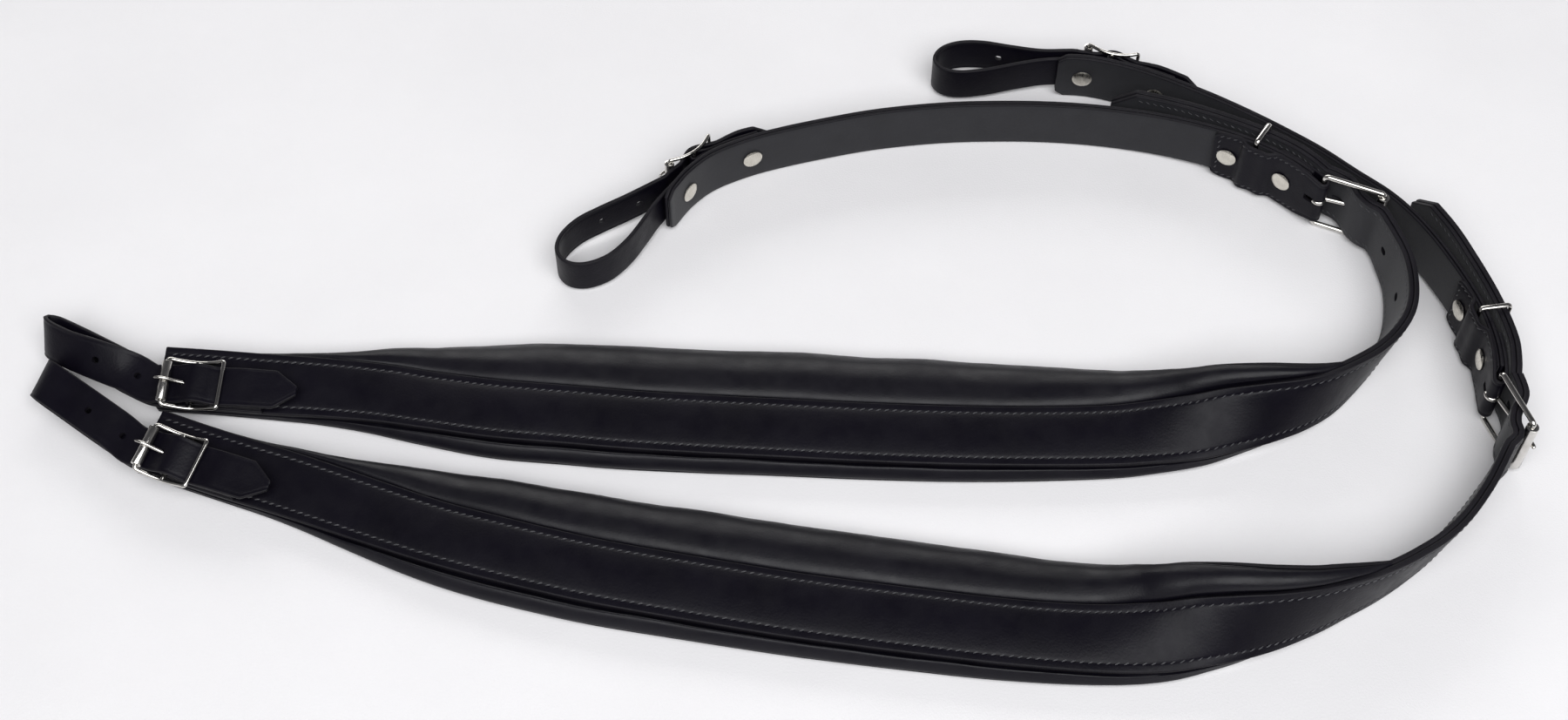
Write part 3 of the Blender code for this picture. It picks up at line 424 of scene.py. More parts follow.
def punch(obj, centre, axis, radius, half_length, along, stretch=0.0):
    """Round or oval hole with a dark cut wall."""
    across = axis.cross(along).normalized()
    verts, count = [], 20
    for level in (-half_length, half_length):
        for k in range(count):
            turn = 2.0 * math.pi * (k + 0.5) / count
            push = stretch if math.cos(turn) > 0 else -stretch
            verts.append((centre + axis * level + along * (radius * math.cos(turn) + push)
                          + across * (radius * math.sin(turn)) - OFFSET) * MM)
    faces = [list(reversed(range(count))), list(range(count, 2 * count))]
    for k in range(count):
        nxt = (k + 1) % count
        faces.append([k, nxt, count + nxt, count + k])
    cut(obj, verts, faces)


def cut(obj, verts, faces):
    mesh = bpy.data.meshes.new("cutter")
    mesh.from_pydata(verts, [], faces)
    mesh.materials.append(obj.data.materials[1])
    bm = bmesh.new()
    bm.from_mesh(mesh)
    bmesh.ops.recalc_face_normals(bm, faces=bm.faces)
    bm.to_mesh(mesh)
    bm.free()
    cutter = bpy.data.objects.new("cutter", mesh)
    bpy.context.scene.collection.objects.link(cutter)
    modifier = obj.modifiers.new("hole", "BOOLEAN")
    modifier.operation = "DIFFERENCE"
    modifier.solver = "EXACT"
    modifier.material_mode = "TRANSFER"
    modifier.object = cutter
    graph = bpy.context.evaluated_depsgraph_get()
    result = bpy.data.meshes.new_from_object(obj.evaluated_get(graph))
    old = obj.data
    obj.modifiers.clear()
    obj.data = result
    bpy.data.meshes.remove(old)
    bpy.data.objects.remove(cutter, do_unlink=True)
    finish_mesh(obj)


def prong_slot(obj, frame, us, ws, ns):
    """Box cut through a fold, where the prong comes out."""
    corners = [(frame.at(u, w, n) - OFFSET) * MM for u in us for w in ws for n in ns]
    cut(obj, corners, [[0, 1, 3, 2], [4, 5, 7, 6], [0, 1, 5, 4], [2, 3, 7, 6], [0, 2, 6, 4], [1, 3, 7, 5]])


def stitches(name, body, place, s0, s1, pitch=4.3, length=2.7, radius=0.36, slant=0.6):
    """A row of thread stitches; place(s, sideways) gives a point and the outward direction."""
    verts, faces = [], []
    count = max(1, int((s1 - s0) / pitch))
    gap = (s1 - s0) / count
    sizes = (0.35, 0.9, 1.0, 0.9, 0.35)
    for i in range(count):
        start = s0 + gap * (i + 0.5) - length / 2.0
        path = []
        for k in range(5):
            t = k / 4.0
            point, out = place(start + length * t, slant * (t - 0.5) * 2.0)
            path.append(point + out * (0.18 * math.sin(math.pi * t) - 0.05))
        more, quads = sweep_wire(path, out, radius, radius, 6, False, lambda j: sizes[j])
        base = len(verts)
        verts += more
        faces += [[v + base for v in face] for face in quads]
    return make(name, body, verts, faces, [THREAD], None, 60.0)


# --- materials ---------------------------------------------------------------
def new_material(name):
    mat = bpy.data.materials.new(name)
    mat.use_nodes = True
    tree = mat.node_tree
    shader = tree.nodes["Principled BSDF"]
    coords = tree.nodes.new("ShaderNodeTexCoord").outputs["Object"]
    return mat, tree, shader, coords


def noise_node(tree, coords, scale, detail=3.0, rough=0.55, stretch=None):
    node = tree.nodes.new("ShaderNodeTexNoise")
    node.inputs["Scale"].default_value = scale
    node.inputs["Detail"].default_value = detail
    node.inputs["Roughness"].default_value = rough
    if stretch:
        mapping = tree.nodes.new("ShaderNodeMapping")
        mapping.inputs["Scale"].default_value = stretch
        tree.links.new(coords, mapping.inputs["Vector"])
        coords = mapping.outputs["Vector"]
    tree.links.new(coords, node.inputs["Vector"])
    return node.outputs["Fac"]


def ramp(tree, source, rows):
    node = tree.nodes.new("ShaderNodeValToRGB")
    while len(node.color_ramp.elements) < len(rows):
        node.color_ramp.elements.new(0.5)
    for element, (spot, colour) in zip(node.color_ramp.elements, rows):
        element.position = spot
        element.color = (*colour, 1.0) if len(colour) == 3 else colour
    tree.links.new(source, node.inputs["Fac"])
    return node.outputs["Color"]


def remap(tree, source, low, high, from_low=0.3, from_high=0.7):
    node = tree.nodes.new("ShaderNodeMapRange")
    node.inputs["From Min"].default_value = from_low
    node.inputs["From Max"].default_value = from_high
    node.inputs["To Min"].default_value = low
    node.inputs["To Max"].default_value = high
    tree.links.new(source, node.inputs["Value"])
    return node.outputs["Result"]


def bump(tree, height, strength, distance, normal=None):
    node = tree.nodes.new("ShaderNodeBump")
    node.inputs["Strength"].default_value = strength
    node.inputs["Distance"].default_value = distance
    tree.links.new(height, node.inputs["Height"])
    if normal is not None:
        tree.links.new(normal, node.inputs["Normal"])
    return node.outputs["Normal"]


def grain_leather(name, dark, light, rough, grain, coat, cell, gloss):
    """Smooth dyed leather: fine pebble, faint creases, cloudy colour, uneven polish."""
    mat, tree, shader, coords = new_material(name)
    cloud = noise_node(tree, coords, 34.0, 4.0)
    tree.links.new(ramp(tree, cloud, [(0.32, dark), (0.68, light)]), shader.inputs["Base Color"])
    polish = noise_node(tree, coords, 85.0, 5.0, 0.6)
    tree.links.new(remap(tree, polish, rough - 0.06, rough + 0.08), shader.inputs["Roughness"])
    pebble = tree.nodes.new("ShaderNodeTexVoronoi")
    pebble.feature = "SMOOTH_F1"
    pebble.inputs["Scale"].default_value = cell
    tree.links.new(coords, pebble.inputs["Vector"])
    first = bump(tree, pebble.outputs["Distance"], grain, 0.00018)
    crease = noise_node(tree, coords, 240.0, 6.0, 0.62)
    second = bump(tree, crease, grain * 0.55, 0.00035, first)
    wave = noise_node(tree, coords, 42.0, 2.0)
    third = bump(tree, wave, 0.2, 0.0009, second)
    tree.links.new(third, shader.inputs["Normal"])
    shader.inputs["Specular IOR Level"].default_value = gloss
    shader.inputs["Coat Weight"].default_value = coat
    shader.inputs["Coat Roughness"].default_value = 0.32
    return mat


def flesh_leather(name, dark, light, rough):
    """Lining side: matte, faint short fibres."""
    mat, tree, shader, coords = new_material(name)
    cloud = noise_node(tree, coords, 60.0, 6.0, 0.65)
    tree.links.new(ramp(tree, cloud, [(0.3, dark), (0.7, light)]), shader.inputs["Base Color"])
    fibre = noise_node(tree, coords, 1500.0, 5.0, 0.7)
    tree.links.new(remap(tree, fibre, rough - 0.05, rough + 0.1), shader.inputs["Roughness"])
    first = bump(tree, fibre, 0.3, 0.0002)
    tree.links.new(bump(tree, cloud, 0.25, 0.0005, first), shader.inputs["Normal"])
    shader.inputs["Sheen Weight"].default_value = 0.14
    shader.inputs["Sheen Roughness"].default_value = 0.5
    shader.inputs["Specular IOR Level"].default_value = 0.35
    return mat


def plated(name, dark, light, rough, brushed=0.0):
    """Plated metal with faint handling marks."""
    mat, tree, shader, coords = new_material(name)
    cloud = noise_node(tree, coords, 220.0, 3.0)
    tree.links.new(ramp(tree, cloud, [(0.3, dark), (0.7, light)]), shader.inputs["Base Color"])
    marks = noise_node(tree, coords, 900.0, 4.0, 0.7, (1.0, 1.0, 0.25))
    tree.links.new(remap(tree, marks, rough * 0.75, rough * 1.4), shader.inputs["Roughness"])
    tree.links.new(bump(tree, marks, 0.06 + brushed, 0.00006), shader.inputs["Normal"])
    shader.inputs["Metallic"].default_value = 1.0
    return mat


def thread_material(name):
    mat, tree, shader, coords = new_material(name)
    twist = noise_node(tree, coords, 2600.0, 2.0, 0.5)
    tree.links.new(ramp(tree, twist, [(0.35, (0.013, 0.013, 0.016)), (0.65, (0.054, 0.054, 0.062))]),
                   shader.inputs["Base Color"])
    tree.links.new(bump(tree, twist, 0.6, 0.0002), shader.inputs["Normal"])
    shader.inputs["Roughness"].default_value = 0.42
    shader.inputs["Sheen Weight"].default_value = 0.2
    return mat


def floor_material():
    mat, tree, shader, coords = new_material("floor_cloth")
    cloud = noise_node(tree, coords, 3.2, 5.0, 0.6)
    tree.links.new(ramp(tree, cloud, [(0.3, (0.80, 0.79, 0.80)), (0.7, (0.86, 0.85, 0.86))]),
                   shader.inputs["Base Color"])
    shader.inputs["Roughness"].default_value = 0.9
    weave = noise_node(tree, coords, 900.0, 3.0, 0.6)
    soft = noise_node(tree, coords, 9.0, 3.0, 0.5)
    first = bump(tree, weave, 0.25, 0.0006)
    tree.links.new(bump(tree, soft, 0.35, 0.004, first), shader.inputs["Normal"])
    return mat


GRAIN = grain_leather("black_leather_grain", (0.0020, 0.0015, 0.0042), (0.0034, 0.0027, 0.0064), 0.43,
                      grain=0.35, coat=0.02, cell=900.0, gloss=0.15)
PAD = grain_leather("black_leather_pad", (0.0024, 0.0020, 0.0046), (0.0042, 0.0036, 0.0070), 0.42,
                    grain=0.28, coat=0.02, cell=1100.0, gloss=0.25)
# cut edges: their own black edge finish, made lighter than the grain partly as a painted highlight along the edges
EDGE = grain_leather("black_leather_edge", (0.004, 0.0034, 0.0056), (0.009, 0.0080, 0.011), 0.55,
                     grain=0.6, coat=0.0, cell=1500.0, gloss=0.2)
LINING = flesh_leather("lining_leather", (0.0046, 0.0046, 0.0074), (0.0096, 0.0097, 0.0132), 0.66)
TOP_SIDE = ([GRAIN, EDGE], "black_leather")
FLESH_SIDE = ([LINING, EDGE], "lining_leather")
THREAD = thread_material("black_thread")
NICKEL = plated("nickel_wire", (0.56, 0.545, 0.51), (0.70, 0.68, 0.645), 0.12)
ROLLER = plated("nickel_roller", (0.60, 0.585, 0.55), (0.74, 0.72, 0.69), 0.16)
RIVET = plated("satin_rivet", (0.66, 0.63, 0.56), (0.78, 0.75, 0.67), 0.28, 0.05)


# --- padded piece ------------------------------------------------------------
class Pad:
    """Section of the padded part as a function of the distance along the band."""

    def __init__(self, length, fullness):
        self.length, self.fullness = length, fullness

    def value(self, rows, s):
        return soft_table(rows, s / self.length, 0.022)

    def base(self, s):
        return self.value(BAND_BASE, s)

    def slope(self, s):
        return self.value(BAND_SLOPE, s)

    def edges(self, s):
        """Far and near edge; both draw in under the band just before the end."""
        far = 19.0 + (self.value(PAD_FAR, s) - 19.0) * self.fullness
        near = self.value(PAD_NEAR, s)
        last = self.last(s)
        return far + (17.3 - far) * last, near + (17.0 - near) * last

    def last(self, s):
        """0 along the pad, rising to 1 at its end."""
        return max(0.0, 1.0 - (self.length - s) / END_TAPER) ** 2

    def outline(self, s):
        far, near = self.edges(s)
        rise = self.value(ROLL_RISE, s)
        base, slope = self.base(s), self.slope(s)
        top_far, top_near = base + slope - 0.35, base - slope - 0.35
        crest = min(17.9, far - 3.4)
        room = far - crest
        low = COVER_LOW + COVER_LIFT * self.last(s)
        tall = top_far + rise - low
        bulge = 1.6 * min(1.0, tall / 12.0)
        roll = [(crest - 0.3, top_far), (crest + 0.9 + room * 0.02, top_far + rise * 0.42 + 0.6),
                (crest + room * 0.2, top_far + rise * 0.84 + 0.3), (crest + room * 0.45, top_far + rise + 0.2),
                (crest + room * 0.76, low + tall * 0.86), (far - 0.2, low + tall * 0.5),
                (far - 0.3, low + tall * 0.2), (far - 1.8, low)]
        spare = max(0.6, near - 17.6)
        puff = min(2.6, 0.5 * max(0.0, near - 18.0))
        side = [(-near + 0.9, low), (-near - bulge * 0.7, low + 0.18 * (top_near - low)),
                (-near - bulge, low + 0.45 * (top_near - low)),
                (-near - bulge * 0.25, low + 0.8 * (top_near - low) + puff * 0.3),
                (-17.6 - 0.58 * spare, top_near + puff), (-17.6 - 0.14 * spare, top_near + puff * 0.35 - 0.3),
                (-17.0, top_near - 0.3)]
        lift = [Vector((x, z, 0.0)) for x, z in roll]
        flank = [Vector((x, z, 0.0)) for x, z in side]
        rows = [(p.x, p.y) for p in smooth_line(flank, 4)]
        width = crest - 0.3 + 17.0
        rows += [(-17.0 + width * k / 7.0, top_near + (top_far - top_near) * k / 7.0) for k in range(1, 7)]
        rows += [(p.x, p.y) for p in smooth_line(lift, 5)]
        span = far - 1.8 + near - 0.9
        rows += [(far - 1.8 - span * k / 9.0, low) for k in range(1, 9)]
        return rows


def cover_rings(route, pad, marks):
    """Rings of the cover, with the soft unevenness of stuffed leather."""
    rings = []
    for s in marks:
        point, _, width, normal = route.at(s)
        rows = pad.outline(s)
        end = ease(min(s, pad.length - s) + 0.05, 3.0)
        swell = min(1.0, min(s, pad.length - s) / 90.0)
        ring = []
        for x, z in rows:
            x *= 0.96 + 0.04 * end
            spot = Vector((s * 0.03, x * 0.05, z * 0.08 + pad.fullness * 9.0))
            push = noise.noise(spot) * 0.5 + noise.noise(spot * 3.7) * 0.14
            free = max(0.0, min(1.0, (z - COVER_LOW) / 3.0))
            outside = 1.0 if x > 18.5 or x < -18.0 else 0.0
            x += push * free * outside * swell * (0.6 if x < 0 else 1.0)
            z += push * free * outside * swell * 0.7
            ring.append(point + width * x + normal * z)
        rings.append(ring)
    return rings


def build_pad(prefix, route, pad):
    body = "strap_" + prefix
    marks = spread(0.0, pad.length, 2.6)
    verts, faces = loft(cover_rings(route, pad, marks))
    cover = make("look_%s_pad_cover" % prefix, body, verts, faces, [PAD, EDGE], None, 50.0,
                 (prefix + "_pad_cover", prefix + "_pad_foam"))

    def lining(s):
        far, near = pad.edges(s)
        last = pad.last(s)
        rows = flat_profile((far + near + 0.2) / 2.0, 0.2 + LINING_LIFT * last, 1.95 + COVER_LIFT * last,
                            shrink=closing(s, 0.0, pad.length, 0.4))
        return [(x + (far - near) / 2.0, z) for x, z in rows]

    strip(prefix + "_pad_lining", body, FLESH_SIDE, route, spread(0.0, pad.length, 3.2), lining)
    seam_rows(prefix, route, pad)


def seam_rows(prefix, route, pad):
    """Turned seam between cover and lining, a thin cord all along both long edges."""
    body = "strap_" + prefix
    for side, label in ((1.0, "far"), (-1.0, "near")):
        path = []
        for s in spread(6.0, pad.length - 6.0, 3.2):
            far, near = pad.edges(s)
            edge = far - 0.5 if side > 0 else -near - 0.1
            path.append(route.point(s, edge, 2.1 + COVER_LIFT * pad.last(s)))
        verts, faces = sweep_wire(path, UP, 0.55, 0.45, 8, False)
        make("look_%s_seam_%s" % (prefix, label), body, verts, faces, [EDGE], None, 60.0)


# --- long straps -------------------------------------------------------------
def crown_of(pad, s):
    return table([(0.03, 0.0), (0.16, 0.7), (0.3, 1.3), (0.8, 1.3), (0.93, 0.5), (1.02, 0.15)], s / pad.length)


def build_main(prefix, route, pad):
    body, end = "strap_" + prefix, route.length

    def half(s):
        return soft_table([(end - 14.0, MAIN_W / 2.0), (end, 7.0)], s, 0.6)

    def outer(s):
        return flat_profile(half(s), pad.base(s), pad.base(s) + MAIN_T, pad.slope(s), crown_of(pad, s), 1.0,
                            closing(s, 0.0, end))

    def inner(s):
        high = pad.base(s) - 0.2
        return flat_profile(half(s) - 0.3, high - MAIN_LINING_T, high, shrink=closing(s, start, end))

    start = pad.length - 6.0
    main = strip(prefix + "_main_strap", body, TOP_SIDE, route, spread(0.0, end, 2.2, (end - 14.0,)), outer)
    lining = strip(prefix + "_main_lining", body, FLESH_SIDE, route, spread(start, end, 2.4, (end - 14.0,)), inner)
    for side, label in ((1.0, "far"), (-1.0, "near")):
        def place(s, sideways, side=side):
            w = side * (half(s) - STITCH_IN) + sideways
            z = pad.base(s) + MAIN_T + pad.slope(s) * w / half(s) - 0.1
            _, _, _, normal = route.at(s)
            return route.point(s, w, z), normal
        stitches("look_%s_thread_%s" % (prefix, label), body, place, 3.5, end - 15.0)

        def place_in(s, sideways, side=side):
            w = side * (half(s) - STITCH_IN + 0.6) + sideways
            _, _, _, normal = route.at(s)
            return route.point(s, w, pad.base(s) - 0.2 - MAIN_LINING_T), normal * -1.0
        stitches("look_%s_thread_in_%s" % (prefix, label), body, place_in, start + 3.0, end - 15.0,
                 radius=0.26)
    return main, lining


def build_upper(prefix, route):
    body, start, end = "strap_" + prefix, 8.0, route.length

    def half(s):
        return soft_table([(end - 5.0, UPPER_W / 2.0), (end, UPPER_W / 2.0 - 3.6)], s, 0.8)

    def outer(s):
        return flat_profile(half(s), 0.1, 0.1 + UPPER_T, shrink=closing(s, start, end))

    def inner(s):
        return flat_profile(half(s) - 0.25, -0.1 - UPPER_LINING_T, -0.1, shrink=closing(s, start, end))

    marks = spread(start, end, 2.4, (end - 5.0, end - 2.5))
    strip(prefix + "_upper_strap", body, TOP_SIDE, route, marks, outer)
    strip(prefix + "_upper_lining", body, FLESH_SIDE, route, marks, inner)


# --- metal -------------------------------------------------------------------
def frame_path(frame, inner, wire, near_u, far_u, rise, corner, flare=0.0):
    """Dense rounded rectangle of wire centres, dipping to n = 0 at the middle if it has a rise."""
    half = inner / 2.0 + wire
    turns = [(far_u - corner, half - corner, 0.0), (near_u + corner, half - corner, 90.0),
             (near_u + corner, -half + corner, 180.0), (far_u - corner, -half + corner, 270.0)]
    reach = max(abs(near_u), abs(far_u))
    flat = []
    for cu, cw, start in turns:
        flat += arc(cu, cw, corner, start, start + 90.0, 7)
    path = []
    for (u0, w0), (u1, w1) in zip(flat, flat[1:] + flat[:1]):
        steps = max(1, int(math.hypot(u1 - u0, w1 - w0) / 1.5))
        for k in range(steps):
            u, w = u0 + (u1 - u0) * k / steps, w0 + (w1 - w0) * k / steps
            wide = 1.0 + flare * max(0.0, u / reach) ** 5
            path.append(frame.at(u, w * wide, rise * (u / reach) ** 2))
    return path


def metal(node, body, data, mat):
    """A metal piece in place of its CAD node."""
    return make("look_" + node, body, data[0], data[1], [mat], None, 40.0, (node,))


def roller(name, frame, u, n, bar_r, radius, inner):
    half = inner / 2.0 - 0.7
    bore, lip = bar_r + 0.1, 0.35
    profile = [(bore, -half), (radius - lip, -half), (radius - 0.1, -half + 0.12), (radius, -half + lip),
               (radius, half - lip), (radius - 0.1, half - 0.12), (radius - lip, half), (bore, half)]
    metal(name, name, turned(frame.at(u, 0.0, n), frame.w, profile, 40), ROLLER)


def prong(name, frame, bar_r, radius, rest_u, rest_n, tip_u, roller_n):
    bend = bar_r + radius + 0.12
    rows = arc(0.0, 0.0, bend, -40.0, -215.0, 8)
    start_u, start_n = rows[-1]
    lean = math.atan2(rest_n - start_n, start_u - rest_u)
    rest_n += (1.0 / math.cos(lean) - 1.0) * (rest_n - roller_n) + 0.1
    slope = (rest_n - start_n) / (rest_u - start_u)
    rows.append((start_u + (rest_u - start_u) * 0.5, start_n + slope * (rest_u - start_u) * 0.5))
    rows.append((rest_u, rest_n))
    rows.append((tip_u, rest_n - 0.5))
    path = smooth_line([frame.at(u, 0.0, n) for u, n in rows], 6)
    count = len(path)

    def thin(i):
        return table([(0.0, 1.0), (count - 8.0, 1.0), (count - 1.6, 0.72), (count - 1.0, 0.4)], i)

    metal(name, name, sweep_wire(path, frame.w, radius, radius, 14, False, thin), NICKEL)


def small_buckle(prefix, frame, body):
    path = frame_path(frame, S_INNER, S_WIRE, -S_REACH, S_REACH, S_RISE, 1.7, 0.045)
    verts, faces = sweep_wire(path, frame.n, 1.15, 1.05, 12, True)
    ends = [frame.at(0.0, w, 0.0) for w in (-S_INNER / 2.0 - S_WIRE, 0.0, S_INNER / 2.0 + S_WIRE)]
    more, quads = sweep_wire(ends, frame.n, 1.3, 1.3, 12, False)
    faces = faces + [[v + len(verts) for v in face] for face in quads]
    metal(prefix + "_buckle", body, (verts + more, faces), NICKEL)
    roller(prefix + "_roller", frame, -S_REACH, S_RISE, S_WIRE, S_ROLLER_R, S_INNER)
    rest = S_RISE + S_ROLLER_R + S_PRONG_R + 0.12
    prong(prefix + "_prong", frame, S_WIRE, S_PRONG_R, -S_REACH, rest, -S_REACH - 4.6, S_RISE)


def large_buckle(prefix, frame):
    path = frame_path(frame, L_INNER, L_WIRE, -L_REACH, 0.0, 0.0, 2.2)
    metal(prefix + "_buckle", "strap_" + prefix, sweep_wire(path, frame.n, 1.5, 1.5, 16, True), NICKEL)
    roller(prefix + "_roller", frame, -L_REACH, 0.0, L_WIRE, L_ROLLER_R, L_INNER)
    rest = L_ROLLER_R + L_PRONG_R + 0.12
    prong(prefix + "_prong", frame, L_WIRE, L_PRONG_R, -L_REACH, rest, -L_REACH - 3.2, 0.0)


def rivet(name, body, centre, axis, low, high):
    r, b, shank = RIVET_R, RIVET_BACK_R, 1.5
    profile = [(0.0, low - 1.5), (r * 0.4, low - 1.46), (r * 0.72, low - 1.3), (r * 0.9, low - 1.0),
               (r, low - 0.62), (r, low - 0.25), (r * 0.95, low - 0.1), (shank, low - 0.1),
               (shank, high + 0.1), (b * 0.95, high + 0.1), (b, high + 0.3), (b * 0.92, high + 0.62),
               (b * 0.7, high + 0.82), (0.0, high + 0.9)]
    metal(name, body, turned(centre, axis, profile, 36), RIVET)


def build_keeper(prefix, route):
    centre, tangent, width, normal = route.at(KEEPER_AT)
    frame = Frame(centre, tangent, width, normal)
    low, high, lift, corner = -3.95, 13.4, 0.7, 2.2
    half = KEEPER_INNER_H / 2.0 + KEEPER_T / 2.0
    flat = []
    for cw, cn, start in ((half - corner, high - corner, 0.0), (-half + corner, high - corner, 90.0),
                          (-half + corner, low + corner, 180.0), (half - corner, low + corner, 270.0)):
        flat += arc(cw, cn, corner, start, start + 90.0, 7)
    path = [frame.at(0.0, w + lift, n) for w, n in flat]
    name = prefix + "_keeper"
    metal(name, name, sweep_wire(path, tangent, 0.85, 1.45, 14, True), NICKEL)


# --- folded leather at the buckles -------------------------------------------
def build_chape(prefix, route, frame):
    body = "strap_" + prefix
    bend = L_WIRE + 0.25 + CHAPE_T / 2.0
    direction = route.at(6.0)[1]
    lean = math.degrees(math.atan2(direction.dot(frame.n), direction.dot(frame.u)))
    points, halves = [], []
    for s in (69.0, 65.0, 60.0, 53.5, 49.0, 42.0, 35.5, 30.5, 24.0, 17.0, 10.0):
        points.append(route.point(s, 0.0, -table(CHAPE_STANDOFF, s)))
        halves.append(table(CHAPE_HALF, s))
    for u, n in arc(0.0, 0.0, bend, 270.0 + lean, 90.0 + lean, 9):
        points.append(frame.at(u, 0.0, n))
        halves.append(15.6)
    for s in (6.0, 12.0, 18.0, 24.0, 32.0):
        points.append(route.point(s, 0.0, 3.5))
        halves.append(15.6)
    line = Route(points, widths=[UP] * len(points), per_segment=6)
    rows = list(zip(line.marks[::6], halves))

    def half(s):
        return soft_table(rows, s, 1.6) - 2.2 * (1.0 - ease(min(s, line.length - s), 3.0))

    def outer(s):
        return flat_profile(half(s), -CHAPE_T / 2.0, CHAPE_T / 2.0, shrink=closing(s, 0.0, line.length, 0.4),
                            groove=0.8, reach=half(s) - 2.6)

    obj = strip(prefix + "_chape", body, TOP_SIDE, line, spread(0.0, line.length, 1.4), outer)
    prong_slot(obj, frame, (-8.0, 8.5), (-2.0, 2.0), (-8.0, 8.0))
    for side, label in ((1.0, "upper"), (-1.0, "lower")):
        def place(s, sideways, side=side):
            return line.point(s, side * (half(s) - 2.6) + sideways, CHAPE_T / 2.0 - 0.1), line.at(s)[3]
        stitches("look_%s_chape_thread_%s" % (prefix, label), body, place, 2.5, 60.0, 3.6, 2.4, 0.3)

    def across(t, sideways):
        return line.point(3.2 + sideways, t, CHAPE_T / 2.0 + 0.02), line.at(3.2)[3]
    stitches("look_%s_chape_thread_end" % prefix, body, across, -12.5, 12.5, 3.6, 2.4, 0.3)


def tab(name, frame, length, body):
    bend = S_WIRE + 0.2 + TAB_T / 2.0
    rows = [(length, -0.65), (24.0, -0.65), (16.0, -0.65), (9.0, -0.6), (6.0, 0.2), (3.0, 1.8)]
    rows += arc(0.0, 0.0, bend, 75.0, 285.0, 8)
    rows += [(4.0, -bend), (9.0, -bend), (16.0, -bend), (24.0, -bend), (length, -bend)]
    path = [frame.at(u, 0.0, n) if u < 4.5 else frame.follow(u, n) for u, n in rows]
    widths = [frame.w if u < 4.5 else frame.follow_width(u) for u, n in rows]
    route = Route(path, widths=widths, per_segment=4)

    def profile(s):
        return flat_profile(SMALL_W / 2.0 - 0.6, -TAB_T / 2.0, TAB_T / 2.0,
                            shrink=closing(s, 0.0, route.length, 0.4, 0.6))

    obj = strip(name, body, TOP_SIDE, route, spread(0.0, route.length, 1.6), profile)
    prong_slot(obj, frame, (-6.0, 4.2), (-1.5, 1.5), (-6.0, 6.0))


def billet_rows(tip):
    return [(-24.0, -1.0), (-19.5, -0.5), (-15.0, 0.1), (-10.0, 0.5), (-5.0, 2.7), (0.0, 4.9), (5.0, 4.3),
            (10.0, 2.1), (15.0, 1.25), (22.0, 2.3), (31.0, 2.9), (tip, 1.8)]


def loop_billet(name, frame, fixed, loop, loop_widths, tip, extra_holes, body):
    rest = -S_BASE + 0.3 + SMALL_T / 2.0
    points = [frame.follow(u, rest) for u in fixed]
    widths = [frame.follow_width(u) for u in fixed]
    points += loop
    widths += loop_widths
    for u, n in billet_rows(tip):
        points.append(frame.follow(u, n) if u > 6.0 else frame.at(u, 0.0, n))
        widths.append(frame.follow_width(u) if u > 6.0 else frame.w)
    route = Route(points, widths=widths, per_segment=10)
    end = route.length

    def half(s):
        return soft_table([(end - 12.0, SMALL_W / 2.0), (end, 2.6)], s, 0.6)

    def profile(s):
        return flat_profile(half(s), -SMALL_T / 2.0, SMALL_T / 2.0, shrink=closing(s, 0.0, end, 0.4),
                            groove=0.5, reach=half(s) - 2.0)

    obj = strip(name, body, TOP_SIDE, route, spread(0.0, end, 1.7, (end - 12.0, end - 11.0)), profile)
    reach = Vector((-11.0, 0.0, 6.6)).normalized()
    along = frame.u * reach.x + frame.n * reach.z
    punch(obj, frame.at(-5.2, 0.0, 2.9), along, 1.35, 5.2, along.cross(frame.w).normalized(), 0.6)
    for s in extra_holes(route):
        centre, tangent, _, normal = route.at(s)
        punch(obj, centre, normal, 1.7, 3.0, tangent, 0.4)


def end_frame(route, s, w_offset, base, flip):
    point, tangent, width, normal = route.at(s)
    sign = -1.0 if flip else 1.0
    origin = point + width * w_offset + normal * (base + S_BASE)
    return Frame(origin, tangent * sign, width, normal, route, s, sign, w_offset, base)


def lower_loop(frame, lean, far_end):
    start = frame.at(-21.0, 0.0, -2.4)
    legs = ((0.2, 2.3, 0.08), (0.34, 3.9, 0.45), (0.55, 5.2, 0.75), (0.76, 5.8, 1.0), (0.9, 5.4, 1.0))

    def place(share, gap, amount):
        turn = math.radians(lean) * amount
        width = frame.w * math.cos(turn) + frame.n * math.sin(turn)
        across = frame.n * math.cos(turn) - frame.w * math.sin(turn)
        return start.lerp(far_end, share) + across * gap, width

    rows = [place(share, -gap, amount) for share, gap, amount in legs]
    rows += [place(0.975, -3.0, 1.0), place(1.0, 0.0, 1.0), place(0.975, 3.0, 1.0)]
    rows += [place(share, gap, amount) for share, gap, amount in reversed(legs)]
    return [row[0] for row in rows], [row[1] for row in rows]


def build_upper_end(prefix, route, loop, tip, foot):
    body = "strap_" + prefix
    spot = route.nearest((foot[0], foot[1], 16.4))
    frame = end_frame(route, spot, 0.0, 0.1 + UPPER_T, True)
    small_buckle(prefix + "_top", frame, body)
    tab(prefix + "_top_tab", frame, 38.0, body)
    fixed = (38.0, 30.0, 20.0, 10.0, 0.0, -9.0, -17.0)
    loop_billet(prefix + "_top_loop", frame, fixed, [Vector(p) for p in loop], [UP] * len(loop), tip,
                lambda r: (r.length - tip - 72.0, r.length - tip - 48.0), body)
    for number, u in ((1, -15.0), (2, 31.0)):
        centre, _, _, normal = route.at(spot - u)
        high = 0.1 + UPPER_T + 0.35 + SMALL_T
        if number == 2:
            high = 0.1 + UPPER_T + S_BASE + 0.1
        rivet("%s_top_rivet_%d" % (prefix, number), body, centre, normal, -0.6 - UPPER_LINING_T, high)


